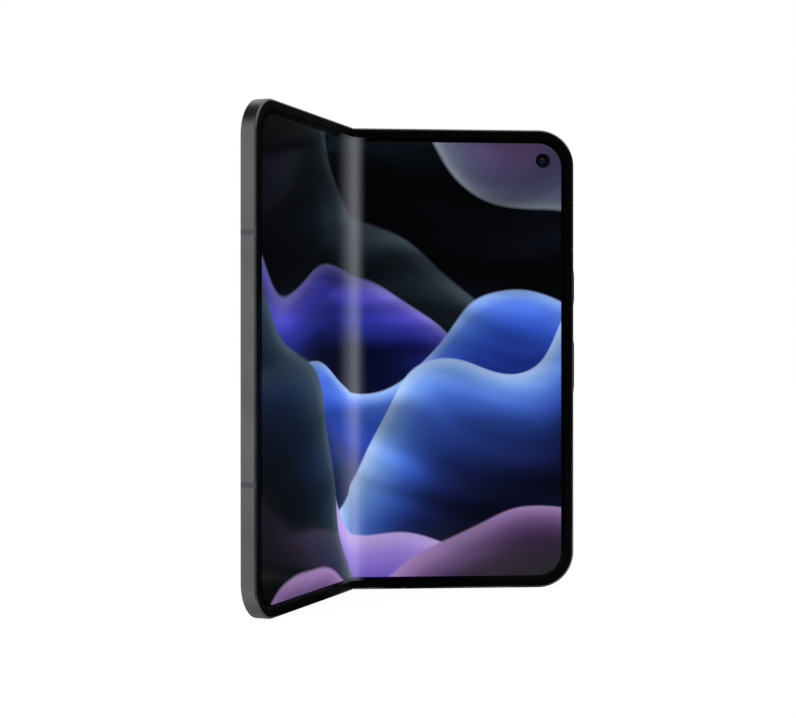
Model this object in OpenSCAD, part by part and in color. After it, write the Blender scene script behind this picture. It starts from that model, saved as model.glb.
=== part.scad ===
// Book-style folding phone, standing half open on its bottom edges. Millimetres.
//
// As drawn, +Z runs up along the hinge, +X runs across the main half from the fold line
// and the main half's inner display faces -Y. The origin is on the fold line, at the
// middle of the main half's thickness, on the plane that the phone stands on.
//
// Every half is modelled lying on its back, as on a bench: x is the distance from the
// fold line, y runs along the hinge and z is 0 at the inner face and negative behind it.
// main_side(), spine_side() and cover_side() then stand the pieces up and fold them.

/* [Body] */
// Height of the phone along its hinge
body_h = 155.2; // [150:0.1:160]
// Width of one half, from the fold line to its outer edge
leaf_w = 75.1; // [73:0.1:78]
// Thickness of one half
leaf_t = 5.1; // [5:0.05:5.6]
// Radius of the outer corners
corner_r = 12; // [8:0.5:13]
// Chamfer on the outer edges
edge_chamfer = 0.45; // [0.2:0.05:0.5]
// Fold of each half from flat as drawn
rest_fold = 32.25; // [0:0.25:90]

/* [Hinge] */
// Distance of each hinge axis from the fold line
axis_x = 1.175; // [1.1:0.025:1.3]
// Depth of the hinge axes below the inner face
axis_depth = 1.025; // [0.9:0.025:1.05]
// Outer radius of the spine about each axis
spine_r = 3.175; // [3.1:0.025:3.3]
// Wall of the spine cover
spine_wall = 0.575; // [0.5:0.025:0.65]
// Running gap between the spine and the halves
spine_gap = 0.1; // [0.08:0.01:0.2]
// Depth below the inner face where the spine cover's sides end
spine_side_depth = 2.1; // [2.1:0.05:2.3]
// Depth below the inner face of the end caps' front
cap_depth = 1.475; // [1.45:0.025:1.8]
// Thickness of the end caps
cap_t = 1.4; // [1:0.1:2]
// Distance from the fold line at which each half's back edge ends
lip_reach = 0.05; // [0.03:0.01:0.2]
// Distance from the fold line at which each half's front tab ends
cheek_reach = 0.8; // [0.8:0.05:1.2]
// Thickness of the front tabs
cheek_t = 0.5; // [0.4:0.05:0.55]
// Depth of the front tabs behind the inner face
cheek_depth = 1.15; // [0.8:0.05:1.2]
// Distance of the outer hinge modules' middles from the ends
module_inset = 24; // [22:0.5:28]
// Length of a hinge base block
base_len = 17; // [16.8:0.1:20]
// Depth of the base blocks' top
base_depth = 1.3; // [1.2:0.05:1.4]
// Inner radius of the swing arms' ring
arm_in_r = 1.95; // [1.9:0.05:2]
// Outer radius of the swing arms' ring
arm_out_r = 2.5; // [2.4:0.05:2.5]
// Running gap round the swing arms
arm_gap = 0.05; // [0.03:0.01:0.07]
// Width of a swing arm along the hinge
arm_w = 5; // [4:0.1:5.2]
// Distance of an arm's middle from its module's middle
arm_offset = 3.7; // [3.6:0.1:4]
// Thickness of a swing arm's foot
foot_t = 0.33; // [0.3:0.01:0.36]
// Diameter of the torque shafts
shaft_d = 0.9; // [0.6:0.1:1]
// Outer diameter of the springs on the torque shafts
torque_spring_d = 1.9; // [1.6:0.1:2.1]

/* [Support wings] */
// Distance of the wing pivots from the fold line
wing_x = 6.3; // [6:0.1:6.5]
// Distance of the wing tips from the fold line
wing_tip = 2.3; // [2.2:0.1:3]
// Thickness of the wing plates
wing_t = 0.35; // [0.3:0.05:0.4]
// Radius of the wings' pivot beads
wing_r = 0.3; // [0.25:0.05:0.35]
// Running gap round the pivot beads
wing_gap = 0.06; // [0.04:0.01:0.1]
// Fall of a wing when the phone is closed
wing_drop = 22; // [20:0.5:24]

/* [Inner display] */
// Thickness of the flexible display
film_t = 0.4; // [0.3:0.05:0.45]
// Distance of the display's edge from the outer edge
film_inset = 1.8; // [1.6:0.1:2.4]
// Gap round the display's edge
film_gap = 0.1; // [0.05:0.05:0.15]
// Length of bending display on each side of the fold line
fold_l = 5; // [4.8:0.1:6]
// Depth that the bending display needs in the ends of the halves
bend_room = 1.9; // [1.8:0.1:2.2]
// Thickness of the soft bezel
bezel_t = 0.25; // [0.2:0.05:0.3]
// Distance of the bezel's inner edge from the outer edge
bezel_inset = 3; // [2.6:0.1:3.8]

/* [Frame] */
// Thickness of the side walls
wall = 1.4; // [1.2:0.1:1.6]
// Width of metal that shows in front, outside the bezel
lip_w = 0.6; // [0.5:0.05:0.9]
// Thickness of the mid plate behind the display
plate_t = 0.6; // [0.5:0.05:0.7]
// Distance from the fold line at which the hinge rail ends
rail_end = 7.2; // [7:0.1:7.6]
// Thickness of the back and cover glass
glass_t = 0.6; // [0.5:0.05:0.7]
// Distance of the glass from the outer edge
glass_inset = 0.9; // [0.8:0.05:1.1]
// Distance from the fold line at which the glass starts
glass_start = 5; // [4.8:0.1:6]
// Gap round glass, bezel and other set-in pieces
seat_gap = 0.05; // [0.03:0.01:0.1]
// Width of the antenna bands
band_w = 1.7; // [1.2:0.1:2.2]
// Distance of the antenna bands in the long sides from the ends
band_inset = 40.65; // [36:0.05:46]
// Distance from the fold line of the bands in the short sides
band_x = 17; // [14:0.5:24]

/* [Buttons] */
// Distance of the power button's middle from the top edge
power_drop = 53.3; // [51:0.1:58]
// Length of the power button
power_len = 14.3; // [12:0.1:15]
// Distance of the volume rocker's middle from the top edge
volume_drop = 80.1; // [76:0.1:84]
// Length of the volume rocker
volume_len = 19.9; // [16:0.1:22]
// Width of the buttons
button_w = 1.9; // [1.6:0.1:2]
// How far the buttons stand out
button_proud = 0.5; // [0.25:0.05:0.6]
// Gap round the buttons
button_gap = 0.12; // [0.1:0.01:0.15]
// Free travel between the power button's nub and its switch
power_travel = 0.3; // [0.28:0.01:0.35]
// Free travel between the volume rocker's nubs and their switches
volume_travel = 0.17; // [0.15:0.01:0.2]
// Room between the wall and the volume rocker's flange, for its tilt
volume_room = 0.25; // [0.24:0.01:0.3]

/* [Cameras] */
// Distance of the inner camera from the outer edge
inner_cam_in = 10.5; // [9:0.1:14]
// Distance of the inner camera from the top edge
inner_cam_drop = 10.3; // [9:0.1:14]
// Diameter of the inner camera's hole in the display
inner_cam_d = 4.9; // [4:0.1:5]
// Width of the camera island
island_w = 36; // [34:0.5:38]
// Height of the camera island
island_h = 32; // [30:0.5:33]
// Corner radius of the camera island
island_r = 8; // [5:0.5:10]
// How far the camera island stands out
island_proud = 2; // [1.6:0.1:2.4]
// Distance of the island's middle from the outer edge
island_in = 25.5; // [24:0.1:28]
// Distance of the island's middle from the top edge
island_drop = 22; // [21:0.5:24]
// Length of a camera window
window_w = 28; // [26:0.5:29]
// Height of a camera window
window_h = 12; // [11:0.5:13]
// Distance between the two windows' middles
window_pitch = 14.6; // [14:0.1:15.5]
// Thickness of the camera windows
window_t = 0.5; // [0.4:0.05:0.7]
// Distance between two lenses in a window
lens_pitch = 14; // [13:0.5:15]
// Diameter of the lens barrels
lens_d = 8.4; // [7:0.1:8.6]
// Diameter of the flash
flash_d = 4; // [3:0.1:5]
// Diameter of the cover camera
cover_cam_d = 4; // [3.4:0.1:4.6]
// Distance of the cover camera from the top edge
cover_cam_drop = 6.6; // [6:0.1:8]

/* [Ports and tray] */
// Distance of the charging port from the middle of its half
port_shift = 0.45; // [-2:0.05:2]
// Width of the port's mouth
port_w = 8.34; // [8.34:0.01:8.4]
// Height of the port's mouth
port_h = 2.56; // [2.56:0.01:2.6]
// Wall of the port's shell
port_wall = 0.3; // [0.2:0.05:0.3]
// Depth of the port
port_depth = 7.3; // [6.5:0.1:8]
// Distance of the card tray from the fold line
tray_x = 25; // [22:0.5:30]
// Width of the card tray's front
tray_w = 13.4; // [12.4:0.1:14]
// Thickness of the card tray
tray_t = 1; // [0.9:0.05:1.1]
// Length of the card tray behind its front
tray_len = 15.8; // [14:0.1:17]
// Diameter of the sound holes
sound_d = 1.1; // [0.8:0.1:1.4]
// Distance between two sound holes
sound_pitch = 1.9; // [1.7:0.1:2.2]
// Number of sound holes in a row
sound_n = 5; // [3:1:6]
// Distance of the first sound hole from the port's middle
sound_from_port = 13; // [12.5:0.1:13.5]
// Distance of the microphone hole from the port's middle
mic_from_port = 8; // [6:0.5:10]
// Diameter of the card tray's pin hole
pin_d = 0.9; // [0.8:0.05:1.2]
// Width of the card
card_w = 8.8; // [8.8:0.05:9]
// Length of the card
card_len = 12.3; // [12.3:0.05:12.4]

/* [Inside] */
// Thickness of the circuit boards
board_t = 0.6; // [0.5:0.05:0.8]
// Height of the parts between the mid plate and the circuit boards
shield_h = 1.35; // [1.2:0.05:1.5]
// Thickness of the main half's battery
battery_t = 2.85; // [2.4:0.05:2.9]
// Thickness of the cover half's battery
cover_battery_t = 2.5; // [2:0.05:2.6]
// Thickness of the charging coil
coil_t = 0.3; // [0.2:0.05:0.32]
// Thickness of the cover display panel
panel_t = 0.6; // [0.5:0.05:0.7]
// Thickness of the flex cables
flex_t = 0.2; // [0.1:0.05:0.2]
// Width of the flex cable across the hinge
flex_w = 12; // [8:0.5:13]
// Distance of the flex cable from the middle between two hinge modules
flex_shift = -0.4; // [-3:0.1:3]
// Diameter of the small screws
screw_d = 0.9; // [0.7:0.1:1]
// Height at which the batteries start
battery_start = 24; // [22:0.5:26]
// Gap between the batteries and their neighbours
battery_gap = 2; // [1:0.1:3]
// Length of the main board along the hinge
main_board_len = 60; // [56:0.5:62]
// Length of the main board's wide part along the hinge
main_board_step = 24; // [22:0.5:25]
// Length of the cover half's board along the hinge
cover_board_len = 48; // [44:0.5:52]
// Distance of the cover board's lower screws from its lower end
cover_post_rise = 21; // [19:0.5:24]
// Distance of the cover board's inner screws from its outer edge
cover_post_in = 17; // [14:0.5:20]
// Length of the key switches
switch_len = 3; // [2:0.1:3.5]
// Gap between a board's end and the top wall, or the top speaker
board_end_gap = 1.8; // [1:0.1:2.5]
// Gap between the hinge rail and the boards
board_rail_gap = 0.8; // [0.5:0.1:1.2]
// Diameter of the charging coil
coil_d = 44; // [40:0.5:50]
// Length of the top speaker along the hinge
top_speaker_len = 7.3; // [6:0.1:8]
// Length of the bottom speaker along the hinge
bottom_speaker_len = 15.6; // [14:0.1:17]
// Length of the vibration motor
motor_len = 12; // [10:0.5:13]
// Length of a closing magnet
magnet_len = 10; // [8:0.5:14]
// Width of a closing magnet
magnet_w = 2.2; // [1.8:0.1:2.4]
// Distance of the closing magnets from the ends
magnet_inset = 20; // [18:0.5:24]

/* [Hidden] */
$fn = 48;

slate = "#4a4d52";
slate_dark = "#3b3e43";
soft_black = "#121214";
screen = "#1c2440";
glass_dark = "#26282c";
steel = "#a9abae";
board_green = "#24463a";
battery_grey = "#2e3034";
copper = "#b8774a";
gold = "#b59a5b";

// Heights in the bench frame
axis_z = -axis_depth;
back_z = -leaf_t;
side_z = -leaf_t / 2;
film_top = -bezel_t;
film_bot = film_top - film_t;
plate_bot = film_bot - plate_t;
glass_in = back_z + glass_t;
cap_top = -cap_depth;
base_top = -base_depth;
base_floor = axis_z - spine_r + spine_wall + 0.03;
barrel_r = spine_r + spine_gap;
foot_z = -spine_side_depth + 0.07;
wing_top = film_bot - seat_gap;
wing_z = wing_top - wing_r;
wing_rest = wing_drop * rest_fold / 90;
rest_top = film_bot - seat_gap;
rest_t = 0.3;
rest_half_w = 1.6;
flex_top = plate_bot - seat_gap;
flex_bot = flex_top - flex_t;
board_top = plate_bot - shield_h;
board_bot = board_top - board_t;
end_gap = film_inset + 0.2;
free = 1;              // Overshoot of a cut past the surface that it opens
head_t = 0.3;          // Height of a hinge screw's head
head_over = 0.5;       // How much wider a hinge screw's head is than the screw
board_head_t = 0.4;    // Height of a board screw's head
board_head_d = 2.2;    // Diameter of a board screw's head
post_r = 1.4;          // Radius of a board post
screw_fit = 0.06;      // Play of a screw in its hole
shaft_at = [axis_x + 0.425, axis_z - 1.475];

// Places across a half and along the hinge
module_y = [module_inset, body_h / 2, body_h - module_inset];
band_y = [band_inset, body_h - band_inset];
flex_y = (module_y[1] + module_y[2]) / 2 + flex_shift;
power_y = body_h - power_drop;
volume_y = body_h - volume_drop;
inner_cam_x = leaf_w - inner_cam_in;
inner_cam_y = body_h - inner_cam_drop;
island_x = leaf_w - island_in;
island_y = body_h - island_drop;
port_x = leaf_w / 2 + port_shift;
sound_x = port_x + sound_from_port;
switch_x = leaf_w - wall - 0.9;
board_x0 = rail_end + board_rail_gap;
board_x1 = switch_x - 1.8;
plug_start = board_x0 + 0.2;     // The flex lead's plug, beside the rail
plug_end = plug_start + 1.6;
shield_x0 = plug_end + 0.2;
battery_x0 = shield_x0;
battery_x1 = board_x1 - 1;

// ---------------------------------------------------------------- placing

module stand() rotate([90, 0, 0]) translate([0, 0, leaf_t / 2]) children();

module turn_about(x) {
    axis_row_y = axis_depth - leaf_t / 2;
    translate([x, axis_row_y, 0]) rotate([0, 0, rest_fold])
        translate([-x, -axis_row_y, 0]) children();
}

module main_side() stand() children();

module spine_side() turn_about(axis_x) stand() children();

module cover_side() turn_about(axis_x) turn_about(-axis_x)
    stand() mirror([1, 0, 0]) children();

// ---------------------------------------------------------------- drawing aids

// A box between two corners
module block(a, b) translate(a) cube(b - a);

// A flat shape in x and z, drawn out along the hinge from y0 to y1
module along_hinge(y0, y1) translate([0, y1, 0]) rotate([90, 0, 0])
    linear_extrude(y1 - y0) children();

// A rod along the hinge
module rod(x, z, r, y0, y1) translate([x, y1, z]) rotate([90, 0, 0])
    cylinder(r = r, h = y1 - y0);

// Both ends of the hinge: the children, and their mirror image at the other end
module both_ends() {
    children();
    translate([0, body_h, 0]) mirror([0, 1, 0]) children();
}

// A profile in (distance outward from the corner's centre, z), swept round the three
// free sides of a half, starting x0 from the fold line
module around_edge(x0) {
    translate([leaf_w - corner_r, 0, 0]) along_hinge(corner_r, body_h - corner_r) children();
    both_ends() translate([0, body_h - corner_r, 0]) {
        translate([leaf_w - corner_r, 0, 0]) rotate_extrude(angle = 90) children();
        translate([x0, 0, 0]) rotate([90, 0, 90])
            linear_extrude(leaf_w - corner_r - x0) children();
    }
}

// Outline of a half, drawn in by inset, starting x0 from the fold line
module leaf_plan(inset, x0) difference() {
    translate([x0, inset]) square([leaf_w - inset - x0, body_h - 2 * inset]);
    for (top = [0, 1])
        translate([0, top * body_h]) mirror([0, top]) translate([leaf_w - corner_r, corner_r])
            mirror([0, 1]) difference() {
                square(corner_r + free);
                circle(corner_r - inset);
            }
}

module slab(inset, x0, z0, z1) translate([0, 0, z0]) linear_extrude(z1 - z0)
    leaf_plan(inset, x0);

// Straight bar with round ends, long in x
module pill(length, width) {
    square([length - width, width], center = true);
    for (side = [-1, 1]) translate([side * (length - width) / 2, 0]) circle(width / 2);
}

module rounded_plate(w, h, r) {
    square([w - 2 * r, h], center = true);
    square([w, h - 2 * r], center = true);
    for (x = [-1, 1], y = [-1, 1]) translate([x * (w / 2 - r), y * (h / 2 - r)]) circle(r);
}

// A bar with round ends through the outer long side, from x0 to x1
module side_bar(y, length, width, x0, x1) translate([x0, y, side_z])
    rotate([90, 0, 90]) linear_extrude(x1 - x0) pill(length, width);

// A bar with round ends through a short side, from y0 to y1
module end_bar(x, z, length, width, y0, y1) translate([x, y1, z]) rotate([90, 0, 0])
    linear_extrude(y1 - y0) pill(length, width);

// A wedge of the plane round the origin, from angle a0 to a1
module wedge(a0, a1, reach) polygon(concat(
    [[0, 0]], [for (i = [0:6]) reach * [cos(a0 + (a1 - a0) * i / 6), sin(a0 + (a1 - a0) * i / 6)]]
));

// ---------------------------------------------------------------- the bending strip

// Share of the fold that a point of the strip takes, t from 0 at the fold line to 1
function ease(t) = t * t * (3 - 2 * t);

// Place of a point of the strip, beside the spine, when each half is folded by fold
function bent(x, z, fold) =
    let (side = x < 0 ? -1 : 1, d = abs(x), a = fold * ease(min(1, d / fold_l)))
    [
        side * (axis_x + (d - axis_x) * cos(a) - (z - axis_z) * sin(a)),
        axis_z + (d - axis_x) * sin(a) + (z - axis_z) * cos(a),
    ];

module bent_strip(z0, z1, y0, y1) {
    steps = 10;
    xs = [for (i = [-steps:steps]) fold_l * i / steps];
    along_hinge(y0, y1) polygon(concat(
        [for (x = xs) bent(x, z0, rest_fold)],
        [for (i = [2 * steps:-1:0]) bent(xs[i], z1, rest_fold)]
    ));
}

// ---------------------------------------------------------------- frames

// Section of a side wall: (distance from the outer edge, z)
module rim_profile() {
    film_side = film_inset - film_gap;
    glass_side = glass_inset - seat_gap;
    section = [
        [0, -edge_chamfer], [edge_chamfer, 0], [lip_w, 0], [lip_w, film_top],
        [film_side, film_top], [film_side, plate_bot], [wall, plate_bot],
        [wall, glass_in], [glass_side, glass_in], [glass_side, back_z],
        [edge_chamfer, back_z], [0, back_z + edge_chamfer],
    ];
    polygon([for (p = section) [corner_r - p[0], p[1]]]);
}

// Section of the rail beside the hinge: (distance from the fold line, z). Its front
// falls away so that the wing has room to drop.
module rail_profile() {
    pocket_x = wing_x + wing_r + wing_gap + 0.05;
    slope_start = wing_top - wing_t - 0.1;
    slope_x = axis_x + barrel_r / 2;
    slope_end = slope_start - (wing_x - slope_x) * tan(wing_drop + 2);
    polygon([
        [lip_reach, back_z], [glass_start, back_z], [glass_start, glass_in],
        [rail_end, glass_in], [rail_end, film_bot], [pocket_x, film_bot],
        [pocket_x, slope_start], [wing_x, slope_start], [slope_x, slope_end],
        [lip_reach, axis_z - barrel_r],
    ]);
}

// Space that the spine sweeps in a half
module barrel_space() {
    rod(axis_x, axis_z, barrel_r, -free, body_h + free);
    block([-free, -free, axis_z - barrel_r], [axis_x, body_h + free, free]);
}

// Pieces that belong to the hinge modules: the middle of each arm of one half. The arms
// of the cover half sit on the other side of each module's middle.
function arm_ys(side) = [for (y = module_y) y + side * arm_offset];

module arm_pocket(side) for (y = arm_ys(side))
    block(
        [axis_x, y - arm_w / 2 - arm_gap, foot_z],
        [wing_x + 0.15, y + arm_w / 2 + arm_gap, free]
    );

arm_screw_x = 4.95;
arm_screw_dy = 1.4;
arm_screw_len = 1.5;

module at_arm_screws(side) for (y = arm_ys(side), dy = [-arm_screw_dy, arm_screw_dy])
    translate([arm_screw_x, y + dy, foot_z]) children();

module band_cuts() {
    for (y = band_y)
        block(
            [leaf_w - wall, y - band_w / 2, back_z - free],
            [leaf_w + free, y + band_w / 2, free]
        );
    both_ends() block(
        [band_x - band_w / 2, -free, back_z - free], [band_x + band_w / 2, wall, free]
    );
}

module half_bands() intersection() {
    around_edge(lip_reach) rim_profile();
    band_cuts();
}

module board_posts(posts) for (p = posts)
    translate([p[0], p[1], board_top]) cylinder(r = post_r, h = shield_h + plate_t / 2);

module post_holes(posts) for (p = posts) translate([p[0], p[1], board_top - free])
    cylinder(d = screw_d + screw_fit, h = free + post_screw_len + 0.1);

post_screw_len = 1.1;

module half_frame(side, posts) {
    difference() {
        union() {
            around_edge(lip_reach) rim_profile();
            slab(wall, rail_end - 0.2, plate_bot, film_bot);
            along_hinge(wall / 2, body_h - wall / 2) rail_profile();
            board_posts(posts);
        }
        barrel_space();
        // Room for the bending display at both ends of the fold
        both_ends() block(
            [-free, cheek_t, -bend_room], [fold_l + seat_gap, film_inset, free]
        );
        rod(wing_x, wing_z, wing_r + wing_gap, end_gap - 0.2, body_h - end_gap + 0.2);
        arm_pocket(side);
        at_arm_screws(side) translate([0, 0, -arm_screw_len - 0.1])
            cylinder(d = screw_d + screw_fit, h = arm_screw_len + free);
        // Slot for the flex cable
        block(
            [axis_x, flex_y - flex_w / 2 - 0.2, flex_bot - seat_gap],
            [rail_end + free, flex_y + flex_w / 2 + 0.2, plate_bot]
        );
        band_cuts();
        post_holes(posts);
    }
    // Tabs that carry the front edge to the fold line
    intersection() {
        around_edge(cheek_reach) rim_profile();
        both_ends() along_hinge(-free, cheek_t) translate([cheek_reach, -cheek_depth])
            difference() {
                square([fold_l - cheek_reach + 0.2, cheek_depth + free]);
                tab_corner();
            }
    }
}

// Round front corner of a tab
module tab_corner() {
    r = 0.5;
    translate([0, cheek_depth - r]) difference() {
        translate([-free, 0]) square([r + free, r + free]);
        translate([r, 0]) circle(r);
    }
}

// ---------------------------------------------------------------- display and bezel

module half_bezel() around_edge(fold_l)
    translate([corner_r - bezel_inset, film_top])
        square([bezel_inset - lip_w - seat_gap, bezel_t]);

module half_film() slab(film_inset, fold_l, film_bot, film_top);

module fold_bezel_pair() both_ends()
    bent_strip(film_top, 0, lip_w + seat_gap, bezel_inset);

// ---------------------------------------------------------------- hinge

module spine_section(r, top) intersection() {
    union() {
        for (side = [-1, 1]) translate([side * axis_x, axis_z]) circle(r);
        translate([-axis_x, axis_z - r]) square([2 * axis_x, 2 * r]);
    }
    translate([-2 * spine_r, -leaf_t]) square([4 * spine_r, leaf_t + top]);
}

base_screw_dy = base_len / 2 - 1;
base_screw_depth = axis_z - spine_r + 0.25;

module at_base_screws() for (y = module_y, dy = [-1, 1])
    translate([0, y + dy * base_screw_dy, 0]) children();

module spine_shell() difference() {
    along_hinge(cap_t, body_h - cap_t) difference() {
        spine_section(spine_r, -spine_side_depth);
        spine_section(spine_r - spine_wall, 0);
    }
    at_base_screws() translate([0, 0, base_screw_depth - seat_gap])
        cylinder(d = screw_d + screw_fit, h = leaf_t);
}

module end_cap() along_hinge(0, cap_t) spine_section(spine_r, cap_top);

arm_start = -150;      // Angle at which a swing arm's ring starts
arm_way = -157;        // Angle down to which the base blocks make way for it

// Way that the arms of one half sweep through the base blocks
module arm_sweep() translate([axis_x, axis_z]) difference() {
    intersection() {
        circle(spine_r - spine_wall);
        wedge(arm_way, 90, 2 * spine_r);
    }
    circle(arm_in_r - arm_gap);
}

module base_blocks() for (y = module_y) difference() {
    union() {
        along_hinge(y - base_len / 2, y + base_len / 2)
            spine_section(spine_r - spine_wall - 0.03, base_top);
        // Pads that carry the strip under the fold
        block(
            [-0.8, y - base_screw_dy + 1.4, base_top - free],
            [0.8, y + base_screw_dy - 1.4, rest_top - rest_t]
        );
    }
    for (side = [-1, 1])
        along_hinge(
            y + side * arm_offset - arm_w / 2 - arm_gap, y + side * arm_offset + arm_w / 2 + arm_gap
        )
            mirror([side < 0 ? 0 : 1, 0]) arm_sweep();
    at_base_screws() translate([0, 0, -leaf_t]) cylinder(d = screw_d + screw_fit, h = leaf_t);
}

module swing_arms(side) difference() {
    for (y = arm_ys(side)) along_hinge(y - arm_w / 2, y + arm_w / 2) {
        translate([axis_x, axis_z]) difference() {
            intersection() {
                circle(arm_out_r);
                wedge(arm_start, 0, 2 * spine_r);
                translate([-spine_r, -spine_r]) square([2 * spine_r, spine_r - 0.775]);
            }
            circle(arm_in_r);
        }
        translate([axis_x + arm_in_r + 0.025, foot_z])
            square([wing_x + 0.1 - axis_x - arm_in_r - 0.025, foot_t]);
    }
    at_arm_screws(side) translate([0, 0, -free]) cylinder(d = screw_d + screw_fit, h = 2 * free);
}

module arm_screws(side) at_arm_screws(side) {
    translate([0, 0, -arm_screw_len]) cylinder(d = screw_d, h = arm_screw_len + foot_t);
    translate([0, 0, foot_t]) cylinder(d = screw_d + head_over, h = head_t);
}

module post_screws(posts) for (p = posts) translate([p[0], p[1], 0]) {
    translate([0, 0, board_bot]) cylinder(d = screw_d, h = board_t + post_screw_len);
    translate([0, 0, board_bot - board_head_t]) cylinder(d = board_head_d, h = board_head_t);
}

module wing() translate([wing_x, 0, wing_z]) rotate([0, -wing_rest, 0])
    translate([-wing_x, 0, -wing_z]) difference() {
        along_hinge(end_gap, body_h - end_gap) {
            translate([wing_tip, wing_top - wing_t]) square([wing_x - wing_tip, wing_t]);
            translate([wing_x, wing_z]) circle(wing_r);
        }
        for (y = module_y) block(
            [0, y - base_len / 2 - 0.5, -leaf_t], [wing_x - 0.6, y + base_len / 2 + 0.5, free]
        );
        block(
            [0, flex_y - flex_w / 2 - 1, -leaf_t], [wing_x - 0.6, flex_y + flex_w / 2 + 1, free]
        );
    }

// Lead of the flex cable inside one half, with its plug on the board
module flex_lead() {
    y0 = flex_y - flex_w / 2;
    y1 = flex_y + flex_w / 2;
    block([fold_l, y0, flex_bot], [plug_end, y1, flex_top]);
    block([plug_start, y0, board_top], [plug_end, y1, flex_top]);
}

// ---------------------------------------------------------------- main half

flange_t = 0.3;
flange_extra = 1.2;
island_seat = 2;       // Width of the island's rim that lies on the back glass
window_seat = 1;       // Width of a window's rim that lies in the island
window_floor = back_z - island_proud + window_t;
lens_front = window_floor + 0.25;
lens_side = lens_d / 2 + 0.3;
cam_base = 5.4;        // Side of the inner camera's base
port_z = plate_bot - seat_gap - port_h / 2 - port_wall;
tongue_w = 6.6;
tongue_t = 0.7;
tongue_back = 0.8;     // Distance of the tongue's tip from the port's mouth
speaker_x1 = leaf_w - corner_r - 1.1;
under_gap = 0.2;       // Gap between the inside pieces and the back glass

// Main board: a neck beside the cameras and a wide part below them
main_board_y1 = body_h - wall - board_end_gap;
main_board_y0 = main_board_y1 - main_board_len;
main_step_y = main_board_y0 + main_board_step;
neck_x1 = island_x - lens_pitch / 2 - lens_side - 4.1;
wide_post_x = neck_x1 + 19;
main_posts = [
    [neck_x1 - 2, main_board_y1 - 3], [neck_x1 - 2, main_step_y + 5],
    [board_x1 - 3, main_board_y0 + 3], [wide_post_x, main_step_y - 3],
];

function rocker_switches() = [volume_y - volume_len / 3, volume_y + volume_len / 3];

module sound_row(x, z) for (i = [0:sound_n - 1])
    translate([x + i * sound_pitch, wall + free / 2, z]) rotate([90, 0, 0])
        cylinder(d = sound_d, h = wall + free);

module main_frame() color(slate) difference() {
    half_frame(-1, main_posts);
    side_bar(
        power_y, power_len + 2 * button_gap, button_w + 2 * button_gap,
        leaf_w - wall - free / 2, leaf_w + free
    );
    side_bar(
        volume_y, volume_len + 2 * button_gap, button_w + 2 * button_gap,
        leaf_w - wall - free / 2, leaf_w + free
    );
    translate([inner_cam_x, inner_cam_y, plate_bot - free])
        cylinder(d = inner_cam_d + 2 * seat_gap, h = leaf_t);
    end_bar(
        port_x, port_z, port_w + 2 * (port_wall + seat_gap),
        port_h + 2 * (port_wall + seat_gap), -free, wall + free
    );
    sound_row(sound_x, port_z);
}

module main_antenna_bands() color(slate_dark) half_bands();

module main_bezel() color(soft_black) half_bezel();

module inner_display_main() color(screen) difference() {
    half_film();
    translate([inner_cam_x, inner_cam_y, film_bot - free])
        cylinder(d = inner_cam_d, h = film_t + 2 * free);
}

module inner_camera() color(soft_black) {
    barrel_end = board_top - 0.4;
    translate([inner_cam_x, inner_cam_y, barrel_end])
        cylinder(d = inner_cam_d - 2 * seat_gap, h = film_top - 0.1 - barrel_end);
    translate([inner_cam_x - cam_base / 2, inner_cam_y - cam_base / 2, barrel_end - 1])
        cube([cam_base, cam_base, plate_bot - barrel_end + 1 - seat_gap]);
}

module back_cover() color(slate_dark) difference() {
    slab(glass_inset, glass_start + seat_gap, back_z, glass_in);
    translate([island_x, island_y, back_z - free]) linear_extrude(leaf_t)
        rounded_plate(
            island_w - 2 * island_seat, island_h - 2 * island_seat, island_r - island_seat
        );
}

module at_windows() for (side = [-1, 1])
    translate([island_x, island_y + side * window_pitch / 2, 0]) children();

module camera_island() color(slate) difference() {
    translate([island_x, island_y, back_z - island_proud]) linear_extrude(island_proud)
        rounded_plate(island_w, island_h, island_r);
    at_windows() {
        translate([0, 0, back_z - island_proud - free]) linear_extrude(window_t + free)
            pill(window_w, window_h);
        translate([0, 0, window_floor - free]) linear_extrude(leaf_t)
            pill(window_w - 2 * window_seat, window_h - 2 * window_seat);
    }
}

module camera_windows() color(soft_black) at_windows()
    translate([0, 0, back_z - island_proud]) linear_extrude(window_t)
        pill(window_w - 2 * seat_gap, window_h - 2 * seat_gap);

// A camera behind the back: its base on the mid plate, its barrel in the island
module rear_camera(across, up)
    translate([island_x + across * lens_pitch / 2, island_y + up * window_pitch / 2, 0]) {
        block([-lens_side, -lens_side, board_bot], [lens_side, lens_side, plate_bot]);
        translate([0, 0, lens_front]) cylinder(d = lens_d, h = board_bot - lens_front);
    }

module wide_camera() color(soft_black) rear_camera(1, 1);

module ultrawide_camera() color(soft_black) rear_camera(-1, 1);

module tele_camera() color(soft_black) rear_camera(1, -1);

module flash_led() color("#e8e2cc")
    translate([island_x - lens_pitch / 2, island_y - window_pitch / 2, 0]) {
        side = flash_d / 2 + 1;
        block([-side, -side, board_bot], [side, side, plate_bot]);
        translate([0, 0, lens_front]) cylinder(d = flash_d, h = board_bot - lens_front);
    }

main_battery_y1 = main_board_y0 - battery_gap;

module main_battery() color(battery_grey) block(
    [battery_x0, battery_start, plate_bot - battery_t], [battery_x1, main_battery_y1, plate_bot]
);

// The coil lies on the middle of the battery
module charging_coil() color(copper) translate([
    (battery_x0 + battery_x1) / 2, (battery_start + main_battery_y1) / 2,
    plate_bot - battery_t - coil_t,
]) difference() {
    cylinder(d = coil_d, h = coil_t);
    translate([0, 0, -free]) cylinder(d = coil_d / 2, h = coil_t + 2 * free);
}

module main_board() color(board_green) difference() {
    union() {
        block([board_x0, main_board_y0, board_bot], [neck_x1, main_board_y1, board_top]);
        block([board_x0, main_board_y0, board_bot], [board_x1, main_step_y, board_top]);
    }
    screw_holes(main_posts);
}

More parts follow.
